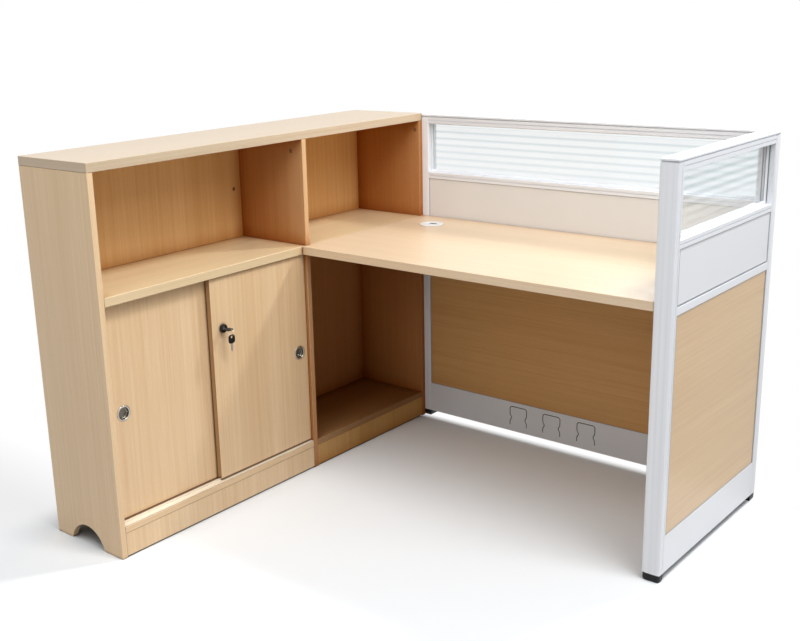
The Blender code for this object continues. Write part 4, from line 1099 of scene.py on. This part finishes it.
def build_knockouts():
    """Dark strips sunk in the slots around the raceway's socket knock-outs as painted shade, scored on below
    them.
    """
    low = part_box("back_raceway")[0]
    half = KNOCKOUT_WIDTH / 2
    shoulder = KNOCKOUT_TOP - KNOCKOUT_ROUND
    start = -KNOCKOUT_SCORE / (shoulder - KNOCKOUT_BOTTOM)
    path = []
    for k in range(KNOCKOUT_STEPS + 1):
        share = start + (1 - start) * k / KNOCKOUT_STEPS
        pinch = KNOCKOUT_WAIST * math.exp(-((share - KNOCKOUT_WAIST_SHARE) / KNOCKOUT_WAIST_SPREAD) ** 2)
        path.append((half - pinch, KNOCKOUT_BOTTOM + GAP + (shoulder - KNOCKOUT_BOTTOM) * share))
    path += arc((half - KNOCKOUT_ROUND, shoulder), KNOCKOUT_ROUND, 0, 90, KNOCKOUT_ROUND_STEPS)[1:]
    path += [(-x, z) for x, z in reversed(path)]
    for number in range(KNOCKOUT_COUNT):
        middle = low.x - GAP + KNOCKOUT_FIRST_X + number * KNOCKOUT_PITCH
        loops = []
        for k, (x, z) in enumerate(path):
            ahead, behind = path[min(k + 1, len(path) - 1)], path[max(k - 1, 0)]
            along = Vector((ahead[0] - behind[0], ahead[1] - behind[1])).normalized()
            sunk = KNOCKOUT_SUNK if z > KNOCKOUT_BOTTOM else KNOCKOUT_ABOVE
            loop = []
            for aside, depth in ((1, sunk), *KNOCKOUT_FACE, (-1, sunk)):
                off = aside * (KNOCKOUT_SLOT / 2 - GAP)
                loop.append((middle + x + along.y * off, low.y + depth, z - along.x * off))
            loops.append(loop)
        piece(f"knockout_strip_{number + 1}", rings(bmesh.new(), loops), BLACK, "frame", "black_plastic")


# Covers and screws
def build_covers():
    """Small push-in covers over the cabinet's fittings."""
    hutch, bay, front = [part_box(name)[1].x for name in ("hutch_back_near", "bay_back", "cabinet_top")]
    divider, far_end = [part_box(name)[0].y for name in ("hutch_divider", "far_end_panel")]
    places = [
        ("X", 1, (hutch, divider - 0.030, 0.905)),
        ("Y", -1, (front - 0.048, divider, 1.037)),
        ("Y", -1, (front - 0.017, far_end, 1.044)),
        ("X", 1, (bay, far_end - 0.020, 0.291)),
    ]
    for k, (axis, out, centre) in enumerate(places):
        profile = [(radius, out * height) for radius, height in COVER_PROFILE]
        shape = turned(profile, axis, centre, COVER_STEPS)
        piece(f"cover_{k + 1}", shape, COVER, "frame", "beech_laminate")


def screw_heads(places, axis):
    """Return pan heads with a hex socket at several places, pointing down or towards the left."""
    shape = bmesh.new()
    hexagon = reach(circle(SCREW_SOCKET_R, 6), (0, 0), SCREW_STEPS)
    levels = [(circle(radius, SCREW_STEPS), height) for radius, height in SCREW_PROFILE]
    levels += [(hexagon, height) for height in SCREW_SOCKET]
    for x, y, z in places:
        if axis == "Z":
            loops = [[(x + a, y + b, z - height) for a, b in loop] for loop, height in levels]
        else:
            loops = [[(x - height, y + a, z + b) for a, b in loop] for loop, height in levels]
        rings(shape, loops)
    return shape


def build_screws():
    for name in ("joining_plate_near", "joining_plate_far"):
        low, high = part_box(name)
        y = (low.y + high.y) / 2
        step = (high.x - low.x) / 2
        places = [(low.x + step * share, y, low.z) for share in PLATE_SCREWS]
        piece(f"{name}_screws", screw_heads(places, "Z"), STEEL, "frame", "steel")
    for name in ("side_angle_near", "side_angle_far"):
        low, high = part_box(name)
        ys = (low.y + ANGLE_SCREW_END, high.y - ANGLE_SCREW_END)
        desk = [(low.x + ANGLE_DESK_SCREW, y, high.z - ANGLE_THICK) for y in ys]
        rail = [(high.x - ANGLE_THICK, y, high.z - ANGLE_RAIL_SCREW) for y in ys]
        piece(f"{name}_desk_screws", screw_heads(desk, "Z"), STEEL, "frame", "steel")
        piece(f"{name}_rail_screws", screw_heads(rail, "X"), STEEL, "frame", "steel")


# Floor, light and camera
def seen_rays(tree):
    """Return 1 for rays that show the thing itself, straight, mirrored or through glass, and 0 for others."""
    path = node(tree, "ShaderNodeLightPath").outputs
    seen = maths(tree, "MAXIMUM", path["Is Camera Ray"], path["Is Glossy Ray"])
    return maths(tree, "MAXIMUM", seen, path["Is Transmission Ray"])


def build_floor():
    """A pale floor that keeps the shadow and turns to plain white further away."""
    rows = [[(x, y, 0) for x, y in circle(radius, FLOOR_STEPS)] for radius in FLOOR_RADII]
    shape = rings(bmesh.new(), rows, ends=False)
    shape.faces.new(list(shape.verts)[:FLOOR_STEPS])
    mesh = bpy.data.meshes.new("floor")
    shape.to_mesh(mesh)
    shape.free()
    floor = bpy.data.objects.new("floor", mesh)
    bpy.context.scene.collection.objects.link(floor)
    made = bpy.data.materials.new("pale_floor")
    made.use_nodes = True
    tree = made.node_tree
    tree.nodes.clear()
    place = node(tree, "ShaderNodeTexCoord").outputs["Object"]
    point = node(tree, "ShaderNodeSeparateXYZ", {0: place}).outputs
    seen = seen_rays(tree)
    # Painted shade: the floor's tone goes towards black where pieces close over it
    free = spread(tree, openness(tree, FLOOR_REACH, 6), *FLOOR_CLOSE)
    tone = mixed(tree, free, (0.0, 0.0, 0.0), FLOOR_TONE)
    near = node(tree, "ShaderNodeBsdfDiffuse", {"Color": mixed(tree, seen, FLOOR_BOUNCE, tone)})
    glow = spread(tree, seen, 0.0, 1.0, WORLD_AMBIENT, 1.0)
    white = node(tree, "ShaderNodeEmission", {"Color": (1.0, 1.0, 1.0), "Strength": glow})
    away = node(tree, "ShaderNodeVectorMath", {0: place}, operation="LENGTH").outputs["Value"]
    away = spread(tree, away, *FADE, smooth=True)
    behind = spread(tree, point["Y"], *BEHIND, smooth=True)
    beside = spread(tree, maths(tree, "MULTIPLY", point["X"], -1.0), *BESIDE, smooth=True)
    beside = maths(tree, "MULTIPLY", beside, spread(tree, point["Y"], *BESIDE_DEPTH))
    fade = maths(tree, "MAXIMUM", away, maths(tree, "MAXIMUM", behind, beside))
    both = node(tree, "ShaderNodeMixShader", {0: fade, 1: near.outputs[0], 2: white.outputs[0]})
    node(tree, "ShaderNodeOutputMaterial", {"Surface": both.outputs[0]})
    mesh.materials.append(made)


def build_world():
    world = bpy.data.worlds.new("studio")
    world.use_nodes = True
    tree = world.node_tree
    glow = spread(tree, seen_rays(tree), 0.0, 1.0, WORLD_AMBIENT, 1.0)
    fill(tree, tree.nodes["Background"], {"Color": (1.0, 1.0, 1.0), "Strength": glow})
    bpy.context.scene.world = world


def lamp(name, azimuth, elevation, size, power):
    turn, rise = math.radians(azimuth), math.radians(elevation)
    away = Vector((math.sin(turn) * math.cos(rise), -math.cos(turn) * math.cos(rise), math.sin(rise)))
    light = bpy.data.lights.new(name, "AREA")
    light.shape = "DISK"
    light.size = size
    light.energy = power
    made = bpy.data.objects.new(name, light)
    made.location = LAMP_AIM + away * LAMP_DISTANCE
    made.rotation_euler = (-away).to_track_quat("-Z", "Y").to_euler()
    bpy.context.scene.collection.objects.link(made)


def build_camera():
    yaw, pitch, roll = CAMERA_YAW, CAMERA_PITCH, CAMERA_ROLL
    ahead = Vector((-math.sin(yaw) * math.cos(pitch), math.cos(yaw) * math.cos(pitch), -math.sin(pitch)))
    level = Vector((math.cos(yaw), math.sin(yaw), 0.0))
    above = level.cross(ahead)
    right = level * math.cos(roll) + above * math.sin(roll)
    up = above * math.cos(roll) - level * math.sin(roll)
    data = bpy.data.cameras.new("camera")
    data.sensor_fit = "HORIZONTAL"
    data.sensor_width = SENSOR
    data.lens = FOCAL_PIXELS * SENSOR / PICTURE_WIDTH
    data.shift_x = -CENTRE_RIGHT / PICTURE_WIDTH
    data.shift_y = CENTRE_DOWN / PICTURE_WIDTH
    camera = bpy.data.objects.new("camera", data)
    camera.matrix_world = Matrix.Translation(CAMERA_PLACE) @ Matrix((right, up, -ahead)).transposed().to_4x4()
    bpy.context.scene.collection.objects.link(camera)
    bpy.context.scene.camera = camera


build_camera()
dress_nodes()
build_pulls()
build_door_shade_strips()
build_lock()
build_keys()
build_grommet()
build_posts()
build_feet()
build_caps()
build_glazing()
build_panel_seals()
build_knockouts()
build_covers()
build_screws()
build_floor()
build_world()
for lamp_name, lamp_values in LAMPS.items():
    lamp(lamp_name, *lamp_values)
bpy.context.scene.view_settings.view_transform = "Standard"
